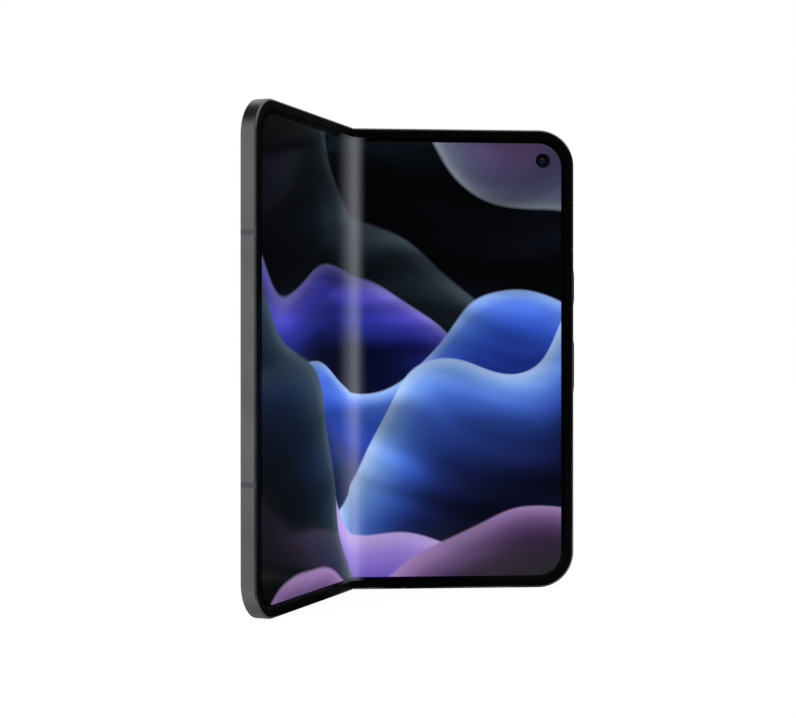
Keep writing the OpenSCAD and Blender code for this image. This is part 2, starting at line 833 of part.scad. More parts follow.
module screw_holes(posts) for (p = posts) translate([p[0], p[1], board_bot - free])
    cylinder(d = screw_d + screw_fit, h = board_t + 2 * free);

// The shields keep clear of the board's posts and edges
module main_shields() color(steel) {
    block([shield_x0, main_step_y + 2, board_top], [neck_x1 - 5, main_board_y1 - 2, plate_bot]);
    block([shield_x0, main_board_y0 + 3, board_top], [wide_post_x - 4, main_step_y - 2, plate_bot]);
}

module main_screws() color(steel) {
    arm_screws(-1);
    post_screws(main_posts);
}

module usb_c_port() color(steel) {
    difference() {
        end_bar(port_x, port_z, port_w + 2 * port_wall, port_h + 2 * port_wall, 0, port_depth);
        end_bar(port_x, port_z, port_w, port_h, -free, port_depth - port_wall);
    }
    block(
        [port_x - tongue_w / 2, tongue_back, port_z - tongue_t / 2],
        [port_x + tongue_w / 2, port_depth - port_wall / 2, port_z + tongue_t / 2]
    );
}

module bottom_board() color(board_green) block(
    [port_x - sound_from_port + 1, port_depth, board_bot],
    [sound_x - 1, battery_start - 2 * battery_gap, board_top]
);

module bottom_speaker() color(soft_black) block(
    [sound_x - 0.8, wall, glass_in + under_gap], [speaker_x1, wall + bottom_speaker_len, plate_bot]
);

motor_y0 = 4;

module vibration_motor() color(steel) block(
    [shield_x0, motor_y0, glass_in + under_gap], [shield_x0 + motor_len, motor_y0 + motor_len, plate_bot]
);

bracket_over = 1.1;    // How far the bracket reaches past the keys
bracket_t = 0.4;
switch_t = 0.4;

module key_bracket() color(steel) block(
    [switch_x - switch_t - bracket_t, volume_y - volume_len / 2 - bracket_over, glass_in + under_gap],
    [switch_x - switch_t, power_y + power_len / 2 + bracket_over, plate_bot]
);

module key_switches() color(gold) for (y = concat([power_y], rocker_switches()))
    block(
        [switch_x - switch_t, y - switch_len / 2, side_z - button_w / 2],
        [switch_x, y + switch_len / 2, side_z + button_w / 2]
    );

module half_magnets() both_ends() block(
    [leaf_w - wall - magnet_w, magnet_inset, side_z - 1.2],
    [leaf_w - wall, magnet_inset + magnet_len, plate_bot]
);

module main_magnets() color(steel) half_magnets();

module main_flex() color(copper) flex_lead();

module main_arms() color(steel) swing_arms(-1);

// A button, with a flange that lies room behind the wall and nubs that face the switches
module button(y, length, nubs, travel, room) {
    flange_x = leaf_w - wall - room - flange_t;
    side_bar(y, length, button_w, flange_x, leaf_w + button_proud);
    side_bar(y, length + flange_extra, button_w, flange_x, flange_x + flange_t);
    for (n = nubs) side_bar(n, 2, button_w / 2, switch_x + travel, flange_x + flange_t);
}

module power_button() color(slate)
    button(power_y, power_len, [power_y], power_travel, seat_gap);

module volume_rocker() color(slate)
    button(volume_y, volume_len, rocker_switches(), volume_travel, volume_room);

// ---------------------------------------------------------------- spine

module hinge_cover() color(slate) spine_shell();

module hinge_cap_bottom() color(slate) end_cap();

module hinge_cap_top() color(slate) translate([0, body_h - cap_t, 0]) end_cap();

module hinge_bases() color(steel) base_blocks();

module fold_rest() color(steel)
    block([-rest_half_w, end_gap, rest_top - rest_t], [rest_half_w, body_h - end_gap, rest_top]);

module hinge_base_screws() color(steel) at_base_screws() {
    translate([0, 0, base_screw_depth]) cylinder(d = screw_d, h = base_top - base_screw_depth);
    translate([0, 0, base_top]) cylinder(d = screw_d + head_over, h = rest_top - rest_t - base_top);
}

spring_inset = 7;      // Distance of the springs' ends from the shafts' ends
shaft_y0 = module_y[0] + base_len / 2;
shaft_y1 = module_y[1] - base_len / 2;

module torque_shafts() color(steel) for (side = [-1, 1])
    rod(side * shaft_at[0], shaft_at[1], shaft_d / 2, shaft_y0, shaft_y1);

module torque_springs() color(gold) for (side = [-1, 1]) difference() {
    rod(
        side * shaft_at[0], shaft_at[1], torque_spring_d / 2,
        shaft_y0 + spring_inset, shaft_y1 - spring_inset
    );
    rod(side * shaft_at[0], shaft_at[1], shaft_d / 2 + seat_gap, shaft_y0, shaft_y1);
}

module hinge_flex() color(copper)
    bent_strip(flex_bot, flex_top, flex_y - flex_w / 2, flex_y + flex_w / 2);

module inner_display_fold() color(screen)
    bent_strip(film_bot, film_top, film_inset, body_h - film_inset);

module fold_bezels() color(soft_black) fold_bezel_pair();

// ---------------------------------------------------------------- cover half

cover_cam_x = (glass_start + leaf_w) / 2;
cover_cam_y = body_h - cover_cam_drop;
cover_cam_base = 5.2;  // Side of the cover camera's base
tray_front_h = 1.7;
tray_z = side_z;
tray_front_t = 1.1;
tray_recess = 0.1;     // How far the tray's front lies inside the edge
tray_gap = 0.1;
pin_x = tray_x + tray_w / 2 + 1.6;
panel_over = glass_in + panel_t + 0.1;
speaker_y0 = body_h - wall - top_speaker_len;
cover_board_y1 = speaker_y0 - board_end_gap;
cover_board_y0 = cover_board_y1 - cover_board_len;
cover_post_low = cover_board_y0 + cover_post_rise;
cover_posts = [
    for (x = [board_x1 - cover_post_in, board_x1 - 4], y = [cover_post_low, cover_board_y1 - 4])
        [x, y]
];

module cover_frame() color(slate) difference() {
    half_frame(1, cover_posts);
    end_bar(
        tray_x, tray_z, tray_w + 2 * tray_gap, tray_front_h + 2 * tray_gap, -free, wall + free
    );
    translate([pin_x, wall + free / 2, tray_z]) rotate([90, 0, 0])
        cylinder(d = pin_d, h = wall + free);
    translate([0, body_h, 0]) mirror([0, 1, 0]) sound_row(sound_x, side_z);
    translate([port_x + mic_from_port, wall + free / 2, side_z]) rotate([90, 0, 0])
        cylinder(d = sound_d, h = wall + free);
}

module cover_antenna_bands() color(slate_dark) half_bands();

module cover_bezel() color(soft_black) half_bezel();

module inner_display_cover() color(screen) half_film();

module cover_glass() color(soft_black)
    slab(glass_inset, glass_start + seat_gap, back_z, glass_in);

module cover_panel() color(screen) difference() {
    slab(wall + 0.6, rail_end + 0.1, glass_in, glass_in + panel_t);
    translate([cover_cam_x, cover_cam_y, glass_in - free])
        cylinder(d = cover_cam_d + 0.4, h = panel_t + 2 * free);
}

module cover_camera() color(soft_black) translate([cover_cam_x, cover_cam_y, 0]) {
    translate([0, 0, glass_in + seat_gap]) cylinder(d = cover_cam_d, h = panel_t + 0.5);
    block(
        [-cover_cam_base / 2, -cover_cam_base / 2, panel_over],
        [cover_cam_base / 2, cover_cam_base / 2, plate_bot]
    );
}

module cover_battery() color(battery_grey) block(
    [battery_x0, battery_start, plate_bot - cover_battery_t],
    [battery_x1, cover_board_y0 - battery_gap, plate_bot]
);

module cover_board() color(board_green) difference() {
    block([board_x0, cover_board_y0, board_bot], [board_x1, cover_board_y1, board_top]);
    screw_holes(cover_posts);
}

module cover_shields() color(steel) {
    low_y1 = cover_post_low - 5;
    block(
        [shield_x0 + 2, low_y1 + 3, board_top],
        [board_x1 - cover_post_in - 4, cover_board_y1 - 3, plate_bot]
    );
    block([shield_x0 + 2, cover_board_y0 + 2, board_top], [board_x1 - 9, low_y1, plate_bot]);
}

module cover_screws() color(steel) {
    arm_screws(1);
    post_screws(cover_posts);
}

module top_speaker() color(soft_black)
    block([sound_x - 2, speaker_y0, panel_over], [speaker_x1, body_h - wall, plate_bot]);

tray_side = 0.9;       // Step between the tray's front and its body, on each side

module sim_reader() color(steel) difference() {
    half = tray_w / 2;
    slot = half - tray_side + 0.15;
    block([tray_x - half, wall + tray_gap, panel_over],
        [tray_x + half, wall + tray_len + 2, plate_bot]);
    block([tray_x - slot, -free, tray_z - tray_t / 2 - tray_gap],
        [tray_x + slot, wall + tray_len + 0.6, tray_z + tray_t / 2 + tray_gap]);
}

module cover_magnets() color(steel) half_magnets();

module cover_flex() color(copper) flex_lead();

module cover_arms() color(steel) swing_arms(1);

module sim_tray() color(slate) difference() {
    half = tray_w / 2 - tray_side;
    card_y = wall + 1.8;
    union() {
        end_bar(tray_x, tray_z, tray_w, tray_front_h, tray_recess, tray_recess + tray_front_t);
        block([tray_x - half, tray_recess + tray_front_t / 2, tray_z - tray_t / 2],
            [tray_x + half, tray_front_t + tray_len, tray_z + tray_t / 2]);
    }
    // Seat for the card
    block(
        [tray_x - card_w / 2, card_y, tray_z - 0.35],
        [tray_x + card_w / 2, card_y + card_len, tray_z + tray_t]
    );
}

module main_wing() color(steel) wing();

module cover_wing() color(steel) wing();

// ---------------------------------------------------------------- nodes

main_side() main_frame();
main_side() main_antenna_bands();
main_side() main_bezel();
main_side() inner_display_main();
main_side() inner_camera();
main_side() back_cover();
main_side() camera_island();
main_side() camera_windows();
main_side() wide_camera();
main_side() ultrawide_camera();
main_side() tele_camera();
main_side() flash_led();
main_side() main_battery();
main_side() charging_coil();
main_side() main_board();
main_side() main_shields();
main_side() main_screws();
main_side() usb_c_port();
main_side() bottom_board();
main_side() bottom_speaker();
main_side() vibration_motor();
main_side() key_bracket();
main_side() key_switches();
main_side() main_magnets();
main_side() main_flex();
main_side() main_arms();
main_side() power_button();
main_side() volume_rocker();
main_side() main_wing();
spine_side() hinge_cover();
spine_side() hinge_cap_bottom();
spine_side() hinge_cap_top();
spine_side() hinge_bases();
spine_side() fold_rest();
spine_side() hinge_base_screws();
spine_side() torque_shafts();
spine_side() torque_springs();
spine_side() hinge_flex();
spine_side() inner_display_fold();
spine_side() fold_bezels();
cover_side() cover_frame();
cover_side() cover_antenna_bands();
cover_side() cover_bezel();
cover_side() inner_display_cover();
cover_side() cover_glass();
cover_side() cover_panel();
cover_side() cover_camera();
cover_side() cover_battery();
cover_side() cover_board();
cover_side() cover_shields();
cover_side() cover_screws();
cover_side() top_speaker();
cover_side() sim_reader();
cover_side() cover_magnets();
cover_side() cover_flex();
cover_side() cover_arms();
cover_side() sim_tray();
cover_side() cover_wing();
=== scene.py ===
# %% [markdown]
# # A folding phone, standing half open
#
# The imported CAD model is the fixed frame: every piece of the phone is already in it, at its
# real size. This lesson gives those pieces their finishes, and models again the ones whose
# look the CAD leaves plain: the bending display and its soft rim, the keys, the camera
# island with its lenses, and the small parts in the ports. Nothing in the frame is moved.

import math

import bpy
import numpy as np
from mathutils import Matrix, Vector


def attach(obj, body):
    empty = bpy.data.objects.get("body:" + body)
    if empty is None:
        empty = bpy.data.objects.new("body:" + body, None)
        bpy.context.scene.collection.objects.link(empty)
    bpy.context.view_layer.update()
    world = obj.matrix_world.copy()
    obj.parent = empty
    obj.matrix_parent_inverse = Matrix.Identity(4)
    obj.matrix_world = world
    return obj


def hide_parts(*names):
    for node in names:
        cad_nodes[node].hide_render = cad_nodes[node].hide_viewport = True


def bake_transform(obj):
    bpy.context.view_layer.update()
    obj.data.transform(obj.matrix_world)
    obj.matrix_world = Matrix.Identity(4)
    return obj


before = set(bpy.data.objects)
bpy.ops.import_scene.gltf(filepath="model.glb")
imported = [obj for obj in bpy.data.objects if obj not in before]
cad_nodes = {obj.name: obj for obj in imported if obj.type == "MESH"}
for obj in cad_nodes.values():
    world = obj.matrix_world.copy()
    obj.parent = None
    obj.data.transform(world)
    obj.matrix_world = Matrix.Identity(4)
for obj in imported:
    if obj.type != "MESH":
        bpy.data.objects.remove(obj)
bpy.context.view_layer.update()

# %% [markdown]
# ## The bench
#
# The phone folds, so its pieces lie at three angles. Each piece is modelled flat, as on a
# workbench: x is the distance from the fold line (negative on the cover half), y runs along
# the hinge, and z is 0 at the inner face and negative behind it. Three placing matrices,
# the same ones that the CAD uses, then stand it up on its half or on the hinge spine.

# %% Sizes from the CAD, in millimetres
MM = 0.001
BODY_H, LEAF_W, LEAF_T, CORNER_R = 155.2, 75.1, 5.1, 12.0
REST_FOLD = math.radians(32.25)
AXIS_X, AXIS_DEPTH = 1.175, 1.025
FOLD_L = 5.0
FILM_TOP, FILM_T, FILM_INSET = -0.25, 0.4, 1.8
LIP_W, BEZEL_INSET, BEZEL_T = 0.65, 3.0, 0.25
ALONG_X, ALONG_Y = (1, 0, 0), (0, 1, 0)


def turn_about(x):
    pivot = Matrix.Translation(Vector((x, AXIS_DEPTH - LEAF_T / 2, 0)) * MM)
    return pivot @ Matrix.Rotation(REST_FOLD, 4, "Z") @ pivot.inverted()


AT_MAIN = Matrix.Rotation(math.pi / 2, 4, "X") @ Matrix.Translation((0, 0, LEAF_T / 2 * MM))
AT_SPINE = turn_about(AXIS_X) @ AT_MAIN
AT_COVER = turn_about(AXIS_X) @ turn_about(-AXIS_X) @ AT_MAIN

# %% [markdown]
# ## Working by operator
#
# Blender's operators act on what is selected, so each step starts from a clean selection.
# Faces are picked by a rule about their middle and their normal, in bench millimetres.


# %% Helpers for modelling
def only(obj):
    bpy.ops.object.select_all(action="DESELECT")
    obj.select_set(True)
    bpy.context.view_layer.objects.active = obj


def named(name):
    obj = bpy.context.object
    obj.name = obj.data.name = name
    return obj


def settle(obj):
    """Puts the object's place, turn and scale into its mesh."""
    only(obj)
    bpy.ops.object.transform_apply(location=True, rotation=True, scale=True)
    return obj


def bench_box(name, low, high):
    """A box between two corners on the bench, as the start of a piece."""
    low, high = Vector(low) * MM, Vector(high) * MM
    bpy.ops.object.select_all(action="DESELECT")
    bpy.ops.mesh.primitive_cube_add(size=1, location=(low + high) / 2)
    obj = named(name)
    obj.scale = high - low
    return settle(obj)


def upright_box(name, middle, length, width, low, high):
    """A bench box round an upright axis at middle, from low to high."""
    (x, y), (dx, dy) = middle, (length / 2, width / 2)
    return bench_box(name, (x - dx, y - dy, low), (x + dx, y + dy, high))


def everything(middle, direction):
    return True


def pick(obj, rule=everything, mode="FACE"):
    """Selects, in edit mode, the faces, edges or corners that pass the rule.

    The rule gets the middle in bench millimetres, and the normal or the edge's direction.
    """
    only(obj)
    bpy.ops.object.mode_set(mode="EDIT")
    bpy.ops.mesh.select_mode(type=mode)
    bpy.ops.mesh.select_all(action="DESELECT")
    bpy.ops.object.mode_set(mode="OBJECT")
    mesh = obj.data
    if mode == "FACE":
        for f in mesh.polygons:
            f.select = bool(rule(f.center / MM, f.normal))
    elif mode == "EDGE":
        for e in mesh.edges:
            a, b = (mesh.vertices[i].co / MM for i in e.vertices)
            e.select = bool(rule((a + b) / 2, (b - a).normalized()))
    else:
        for v in mesh.vertices:
            v.select = bool(rule(v.co / MM, v.normal))
    bpy.ops.object.mode_set(mode="EDIT")


def done():
    bpy.ops.object.mode_set(mode="OBJECT")


def modify(obj, kind, **settings):
    """Adds a modifier and applies it at once."""
    only(obj)
    m = obj.modifiers.new(kind.title(), kind)
    for key, value in settings.items():
        setattr(m, key, value)
    bpy.ops.object.modifier_apply(modifier=m.name)
    return obj


def bevel_edges(obj, rule, radius, segments):
    """Rounds the edges that pass the rule."""
    pick(obj, rule, "EDGE")
    bpy.ops.mesh.bevel(offset=radius * MM, segments=segments, profile=0.5)
    done()
    return obj


def cut_across(obj, normal, places):
    """Cuts a piece's faces by planes at places along a bench axis."""
    for at in places:
        pick(obj)
        bpy.ops.mesh.bisect(plane_co=[n * at * MM for n in normal], plane_no=normal)
        done()


def soften(obj, width, segments=3, angle=35):
    return modify(
        obj, "BEVEL", width=width * MM, segments=segments, limit_method="ANGLE",
        angle_limit=math.radians(angle), harden_normals=False,
    )


def smooth(obj, angle=32):
    """Smooth shading that keeps sharp edges, and keeps large flat faces looking flat."""
    only(obj)
    bpy.ops.object.shade_smooth_by_angle(angle=math.radians(angle))
    return modify(obj, "WEIGHTED_NORMAL", keep_sharp=True)


def cut_away(obj, cutter):
    modify(obj, "BOOLEAN", object=cutter, operation="DIFFERENCE", solver="EXACT")
    bpy.data.objects.remove(cutter)
    return obj


def drill(obj, middle, radius):
    """Cuts a round upright hole through a thin piece."""
    bpy.ops.mesh.primitive_cylinder_add(
        vertices=64, radius=radius * MM, depth=2 * MM, location=[v * MM for v in middle]
    )
    return cut_away(obj, named("drilled_hole"))


def join(obj, others):
    """Makes the others part of the same piece."""
    only(obj)
    for other in others:
        other.select_set(True)
    bpy.ops.object.join()
    return obj


def copy_of(obj, name):
    twin = obj.copy()
    twin.data = obj.data.copy()
    twin.name = twin.data.name = name
    bpy.context.scene.collection.objects.link(twin)
    return twin


def stand_up(obj, place, body, *replaced, slot):
    """Carries a finished piece from the bench to its place, and lets it ride on its body."""
    settle(obj)
    obj.data.transform(place)
    smooth(obj)
    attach(obj, body)
    if replaced:
        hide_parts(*replaced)


# %% [markdown]
# ## Helpers for finishes
#
# Colours are written as they look on a screen, in sRGB hex, and one function turns them to
# the linear values that the renderer works in. Patterns read Object coordinates in metres,
# so a scale of 1000 / size gives a pattern of that size in millimetres.


# %% Colour and node helpers
def colour(hex_code):
    values = [int(hex_code[i : i + 2], 16) / 255 for i in (1, 3, 5)]
    return [v / 12.92 if v <= 0.04045 else ((v + 0.055) / 1.055) ** 2.4 for v in values] + [1.0]


def add(tree, kind, sockets=None, **settings):
    """Adds a node; sockets maps an input's name or number to a value or to another output."""
    n = tree.nodes.new("ShaderNode" + kind)
    for key, value in settings.items():
        setattr(n, key, value)
    for key, value in (sockets or {}).items():
        if isinstance(value, bpy.types.NodeSocket):
            tree.links.new(value, n.inputs[key])
        else:
            n.inputs[key].default_value = value
    return n


def new_finish(name, **principled):
    """A material with its shader, and the object's own coordinates."""
    material = bpy.data.materials.new(name)
    material.use_nodes = True
    tree = material.node_tree
    shader = tree.nodes["Principled BSDF"]
    for key, value in principled.items():
        shader.inputs[key.replace("_", " ")].default_value = value
    place = add(tree, "TexCoord").outputs["Object"]
    return material, tree, shader, place


def blend_colours(tree, share, first, second):
    return add(tree, "Mix", {"Factor": share, 6: first, 7: second}, data_type="RGBA").outputs[2]


def between(tree, value, low, high, a=0.0, b=1.0, **settings):
    """Brings a value from the span low..high to a..b, clamped."""
    spans = {"Value": value, "From Min": low, "From Max": high, "To Min": a, "To Max": b}
    return add(tree, "MapRange", spans, **settings).outputs["Result"]


def math_node(tree, kind, *values):
    return add(tree, "Math", dict(enumerate(values)), operation=kind).outputs[0]


def vector_node(tree, kind, *values):
    node = add(tree, "VectorMath", dict(enumerate(values)), operation=kind)
    return node.outputs["Value" if kind in ("LENGTH", "DOT_PRODUCT") else "Vector"]


def noise(tree, place, size, detail=2.0, **sockets):
    """Noise in lumps about size mm across."""
    sockets = {"Vector": place, "Scale": 1000 / size, "Detail": detail, **sockets}
    return add(tree, "TexNoise", sockets).outputs["Fac"]


def tint(tree, shader, share, first, second):
    """Colours the surface between two tones, in hex or as linear values."""
    tones = [colour(tone) if isinstance(tone, str) else tone for tone in (first, second)]
    tree.links.new(blend_colours(tree, share, *tones), shader.inputs["Base Color"])


def roughen(tree, shader, pattern, low, high, a, b):
    """Lets the pattern's span low..high bring the roughness from a to b."""
    tree.links.new(between(tree, pattern, low, high, a, b), shader.inputs["Roughness"])


def emboss(tree, shader, pattern, strength, depth, **settings):
    """Draws the pattern as relief, depth mm deep."""
    sockets = {"Height": pattern, "Strength": strength, "Distance": depth * MM}
    bump = add(tree, "Bump", sockets, **settings)
    tree.links.new(bump.outputs["Normal"], shader.inputs["Normal"])


def grained(name, hex_code, size, detail, span, rough, relief=None, **principled):
    """A finish of one colour. Noise of this size spreads its roughness and gives it relief."""
    material, tree, shader, place = new_finish(name, Base_Color=colour(hex_code), **principled)
    grain = noise(tree, place, size, detail)
    roughen(tree, shader, grain, *span, *rough)
    if relief:
        emboss(tree, shader, grain, *relief)
    return material


def inside_frame(tree, point, half_w, half_h, radius, soft):
    """1 inside a rectangle with round corners about the point's origin, and 0 outside."""
    corner = vector_node(tree, "ABSOLUTE", point)
    corner = vector_node(tree, "SUBTRACT", corner, (half_w - radius, half_h - radius, 0))
    corner = vector_node(tree, "MAXIMUM", corner, (0, 0, 0))
    reach = vector_node(tree, "LENGTH", corner)
    return between(tree, reach, radius - soft, radius + soft, 1, 0)


def from_axis(tree, place, x, height):
    """The distance in metres from an axis through the phone's thickness, placed in mm."""
    ray = vector_node(tree, "SUBTRACT", place, (x * MM, 0, height * MM))
    return vector_node(tree, "LENGTH", vector_node(tree, "MULTIPLY", ray, (1, 0, 1)))


def wear(obj_or_name, material):
    """Puts a material on a CAD node or on a new piece."""
    obj = cad_nodes[obj_or_name] if isinstance(obj_or_name, str) else obj_or_name
    obj.data.materials.clear()
    obj.data.materials.append(material)
    return obj


# %% [markdown]
# ## The camera
#
# The view comes from fitting a camera to the phone's outline: its real size fixes how far
# away it stands, a little over half a metre, level with the middle of the phone.

# %% Camera
bpy.ops.object.camera_add(
    location=(-0.02559, -0.52411, 0.07752), rotation=(math.radians(90), 0, math.radians(-4.473))
)
camera = bpy.context.object
camera.data.lens, camera.data.sensor_width = 70.2, 36
camera.data.clip_start, camera.data.clip_end = 0.01, 50
bpy.context.scene.camera = camera

# %% [markdown]
# ## The studio
#
# A white room with soft light. The floor and the world are white for the camera and for
# reflections by way of the Light Path node, and a plain grey for the light that they throw
# on the phone. Black and grey cards, unseen by the camera, keep the glass and the screen
# from reflecting a white wall, as on a photographer's table.


# %% White world
def seen_directly(tree):
    """1 for rays from the camera, a reflection or through glass, and 0 for soft light."""
    path = add(tree, "LightPath").outputs
    seen = math_node(tree, "MAXIMUM", path["Is Camera Ray"], path["Is Glossy Ray"])
    return math_node(tree, "MAXIMUM", seen, path["Is Transmission Ray"])


def white(tree, kind, strength):
    return add(tree, kind, {"Color": (1, 1, 1, 1), "Strength": strength}).outputs[0]


def mixed(tree, share, first, second):
    return add(tree, "MixShader", {0: share, 1: first, 2: second}).outputs[0]


world = bpy.data.worlds.new("white_room")
bpy.context.scene.world = world
world.use_nodes = True
tree = world.node_tree
tree.nodes.clear()
walls = mixed(tree, seen_directly(tree), white(tree, "Background", 0.6), white(tree, "Background", 1.0))
add(tree, "OutputWorld", {"Surface": walls})

# %% Floor
bpy.ops.mesh.primitive_plane_add(size=8, location=(0, 0, -0.00002))
floor = named("studio_floor")
paper, tree, shader, place = new_finish("white_paper_floor", Base_Color=(0.8, 0.8, 0.8, 1), Roughness=0.9)
spot = vector_node(tree, "LENGTH", vector_node(tree, "SUBTRACT", place, (0.03, -0.03, 0)))
share = math_node(tree, "MULTIPLY", seen_directly(tree), between(tree, spot, 0.3, 0.9, 0.9, 1.0))
paper_white = mixed(tree, share, shader.outputs[0], white(tree, "Emission", 1.04))
tree.links.new(paper_white, tree.nodes["Material Output"].inputs["Surface"])
wear(floor, paper)

# %% [markdown]
# The cards are seen only in reflections, and fade out towards their edges, so that a
# polished surface shows a soft change of tone. Those with some glow are grey. The three
# small ones that lie at the phone's foot stand for the shade where it meets the floor.


# %% Cards
def card(name, middle, width, height, turn, tilt=math.pi / 2, glow=0.0, fade=0.3):
    bpy.ops.object.select_all(action="DESELECT")
    bpy.ops.mesh.primitive_plane_add(size=1, location=middle, rotation=(tilt, 0, turn))
    obj = named(name)
    obj.scale = (width, height, 1)
    settle(obj)
    obj.visible_camera = obj.visible_diffuse = obj.visible_shadow = obj.visible_transmission = False
    material = bpy.data.materials.new(name)
    material.use_nodes = True
    tree = material.node_tree
    tree.nodes.clear()
    across = add(tree, "UVMap", uv_map="UVMap").outputs["UV"]
    across = vector_node(tree, "SUBTRACT", across, (0.5, 0.5, 0))
    across = vector_node(tree, "ABSOLUTE", across)
    share = math_node(tree, "MULTIPLY", *(
        between(tree, part, 0.5 - edge, 0.5, 1, 0, interpolation_type="SMOOTHSTEP")
        for part, edge in zip(add(tree, "SeparateXYZ", {0: across}).outputs, (fade, min(fade, 0.2)))
    ))
    clear = add(tree, "BsdfTransparent").outputs[0]
    add(tree, "OutputMaterial", {"Surface": mixed(tree, share, clear, white(tree, "Emission", glow))})
    wear(obj, material)


card("card_in_front", (-0.04, -1.15, 0.2), 1.63, 1.3, 0, fade=0.12)
card("card_behind", (0.15, 1.15, 0.42), 3.2, 1.3, 0, glow=0.45, fade=0.2)
card("card_on_floor_behind", (0.05, 0.72, 0.00002), 2.2, 1.1, 0, tilt=0, glow=0.3, fade=0.3)
card("card_right", (1.3, 0.55, 0.35), 1.9, 1.2, math.pi / 2, fade=0.12)
card("card_overhead", (-0.7, -0.08, 1.2), 1.15, 1.5, 0, tilt=0, fade=0.12)
card("card_grey", (0.62, -0.36, 0.1), 1.15, 1.3, math.radians(60), glow=0.42, fade=0.2)
card("card_on_floor", (0.13, -0.66, 0.00002), 0.5, 1.2, 0, tilt=0, fade=0.1)
card("shade_under_main", (0.038, -0.002, 0.00001), 0.1, 0.02, 0, tilt=0, fade=0.35)
card("shade_between", (0.011, -0.048, 0.00001), 0.12, 0.05, math.radians(64.5), tilt=0, fade=0.15)
card("shade_under_cover", (-0.016, -0.035, 0.00001), 0.1, 0.02, math.radians(64.5), tilt=0, fade=0.35)


# %% Lamps
def soft_box(name, place, width, height, watts, aim=(0, 0, 0.078)):
    bpy.ops.object.light_add(type="AREA", location=place)
    lamp = bpy.context.object
    lamp.name = name
    lamp.data.shape = "RECTANGLE"
    lamp.data.size, lamp.data.size_y = width, height
    lamp.data.energy = watts
    lamp.rotation_euler = (Vector(aim) - Vector(place)).to_track_quat("-Z", "Y").to_euler()
    lamp.visible_camera = lamp.visible_glossy = False


soft_box("key_box", (-0.7, -0.9, 0.9), 0.7, 0.7, 9)
soft_box("top_box", (0.1, 0.1, 1.1), 0.8, 0.8, 7)

# %% [markdown]
# ## The frame metal
#
# Both halves, the spine, the keys and the card tray are aluminium: blasted with fine
# beads, then anodised slate grey. Blasting leaves a very fine, even grain that spreads
# highlights, and the dye makes the metal dark. The real grain is about 0.05 mm; it is
# drawn at 0.12 mm so that it shows at all. Faint broad clouding keeps large faces from
# looking printed.


# %% Anodised aluminium
def anodised(name, hex_code, rough, grain_mm, depth):
    material, tree, shader, place = new_finish(name, Metallic=1.0)
    grain = noise(tree, place, grain_mm, Roughness=0.6)
    cloud = noise(tree, place, 18, 3.0)
    dark = [0.90 * v for v in colour(hex_code)[:3]] + [1]
    light = [1.08 * v for v in colour(hex_code)[:3]] + [1]
    tint(tree, shader, between(tree, cloud, 0.35, 0.65), dark, light)
    roughen(tree, shader, grain, 0.3, 0.7, rough - 0.05, rough + 0.05)
    emboss(tree, shader, grain, 0.25, depth)
    return material


slate_metal = anodised("anodised_aluminium_blasted", "#656768", 0.34, 0.12, 0.004)
island_metal = anodised("anodised_aluminium_fine", "#54565a", 0.26, 0.09, 0.003)
key_metal = anodised("anodised_aluminium_polished_edge", "#6a6c70", 0.28, 0.12, 0.003)
for name in ("main_frame", "cover_frame", "hinge_cover", "hinge_cap_bottom", "hinge_cap_top", "sim_tray"):
    wear(name, slate_metal)

# %% [markdown]
# ## Antenna bands
#
# Where the frame is an aerial, it is cut and filled with nylon that holds glass powder.
# It is machined flush with the metal, so only its duller, darker surface tells it apart.

# %% Filled nylon
nylon, tree, shader, place = new_finish("glass_filled_nylon", Roughness=0.5)
flecks = noise(tree, place, 0.2)
tint(tree, shader, between(tree, flecks, 0.4, 0.65), "#33363a", "#44474b")
emboss(tree, shader, flecks, 0.2, 0.004)
wear("main_antenna_bands", nylon)
wear("cover_antenna_bands", nylon)

# %% [markdown]
# ## The bending display
#
# The display is one sheet that bends only in the last 5 mm on each side of the fold line.
# It is modelled flat and whole: a plane, its four corners rounded, given its thickness,
# cut into narrow columns where it bends, and parted at the fold line. The vertices are
# then moved by the same law as in the CAD. No bend tool gives that law, so this one step
# is done in code. Before bending, each point's flat place goes into a UV map, and the
# picture on the screen reads that, so it runs unbroken across the fold.


# %% Bending by the hinge's law
def fold_sheet(obj):
    """Moves a flat sheet on the bench to its bent place at rest, in the shared frame."""
    mesh = obj.data
    co = np.empty(len(mesh.vertices) * 3)
    mesh.vertices.foreach_get("co", co)
    co = co.reshape(-1, 3) / MM
    side = 1.0 if co[:, 0].mean() > 0 else -1.0
    d, z = np.abs(co[:, 0]), co[:, 2] + AXIS_DEPTH
    t = np.clip(d / FOLD_L, 0, 1)
    a = REST_FOLD * t * t * (3 - 2 * t)
    co[:, 0] = side * (AXIS_X + (d - AXIS_X) * np.cos(a) - z * np.sin(a))
    co[:, 2] = -AXIS_DEPTH + (d - AXIS_X) * np.sin(a) + z * np.cos(a)
    mesh.vertices.foreach_set("co", (co * MM).ravel())
    mesh.transform(AT_SPINE)
    mesh.update()
    return side


def flat_map(obj):
    """Keeps each point's flat place, in units of 100 mm, in a UV map."""
    layer = obj.data.uv_layers.new(name="flat")
    corners = np.empty(len(obj.data.loops), int)
    obj.data.loops.foreach_get("vertex_index", corners)
    co = np.empty(len(obj.data.vertices) * 3)
    obj.data.vertices.foreach_get("co", co)
    flat = co.reshape(-1, 3)[corners][:, :2] / (100 * MM)
    layer.data.foreach_set("uv", flat.ravel())


def half_of(sheet, name, side):
    """The part of a whole sheet on one side of the fold line, closed along the cut."""
    half = copy_of(sheet, name)
    pick(half)
    bpy.ops.mesh.bisect(
        plane_co=(0, 0, 0), plane_no=(side, 0, 0), clear_inner=True, use_fill=True
    )
    done()
    return half


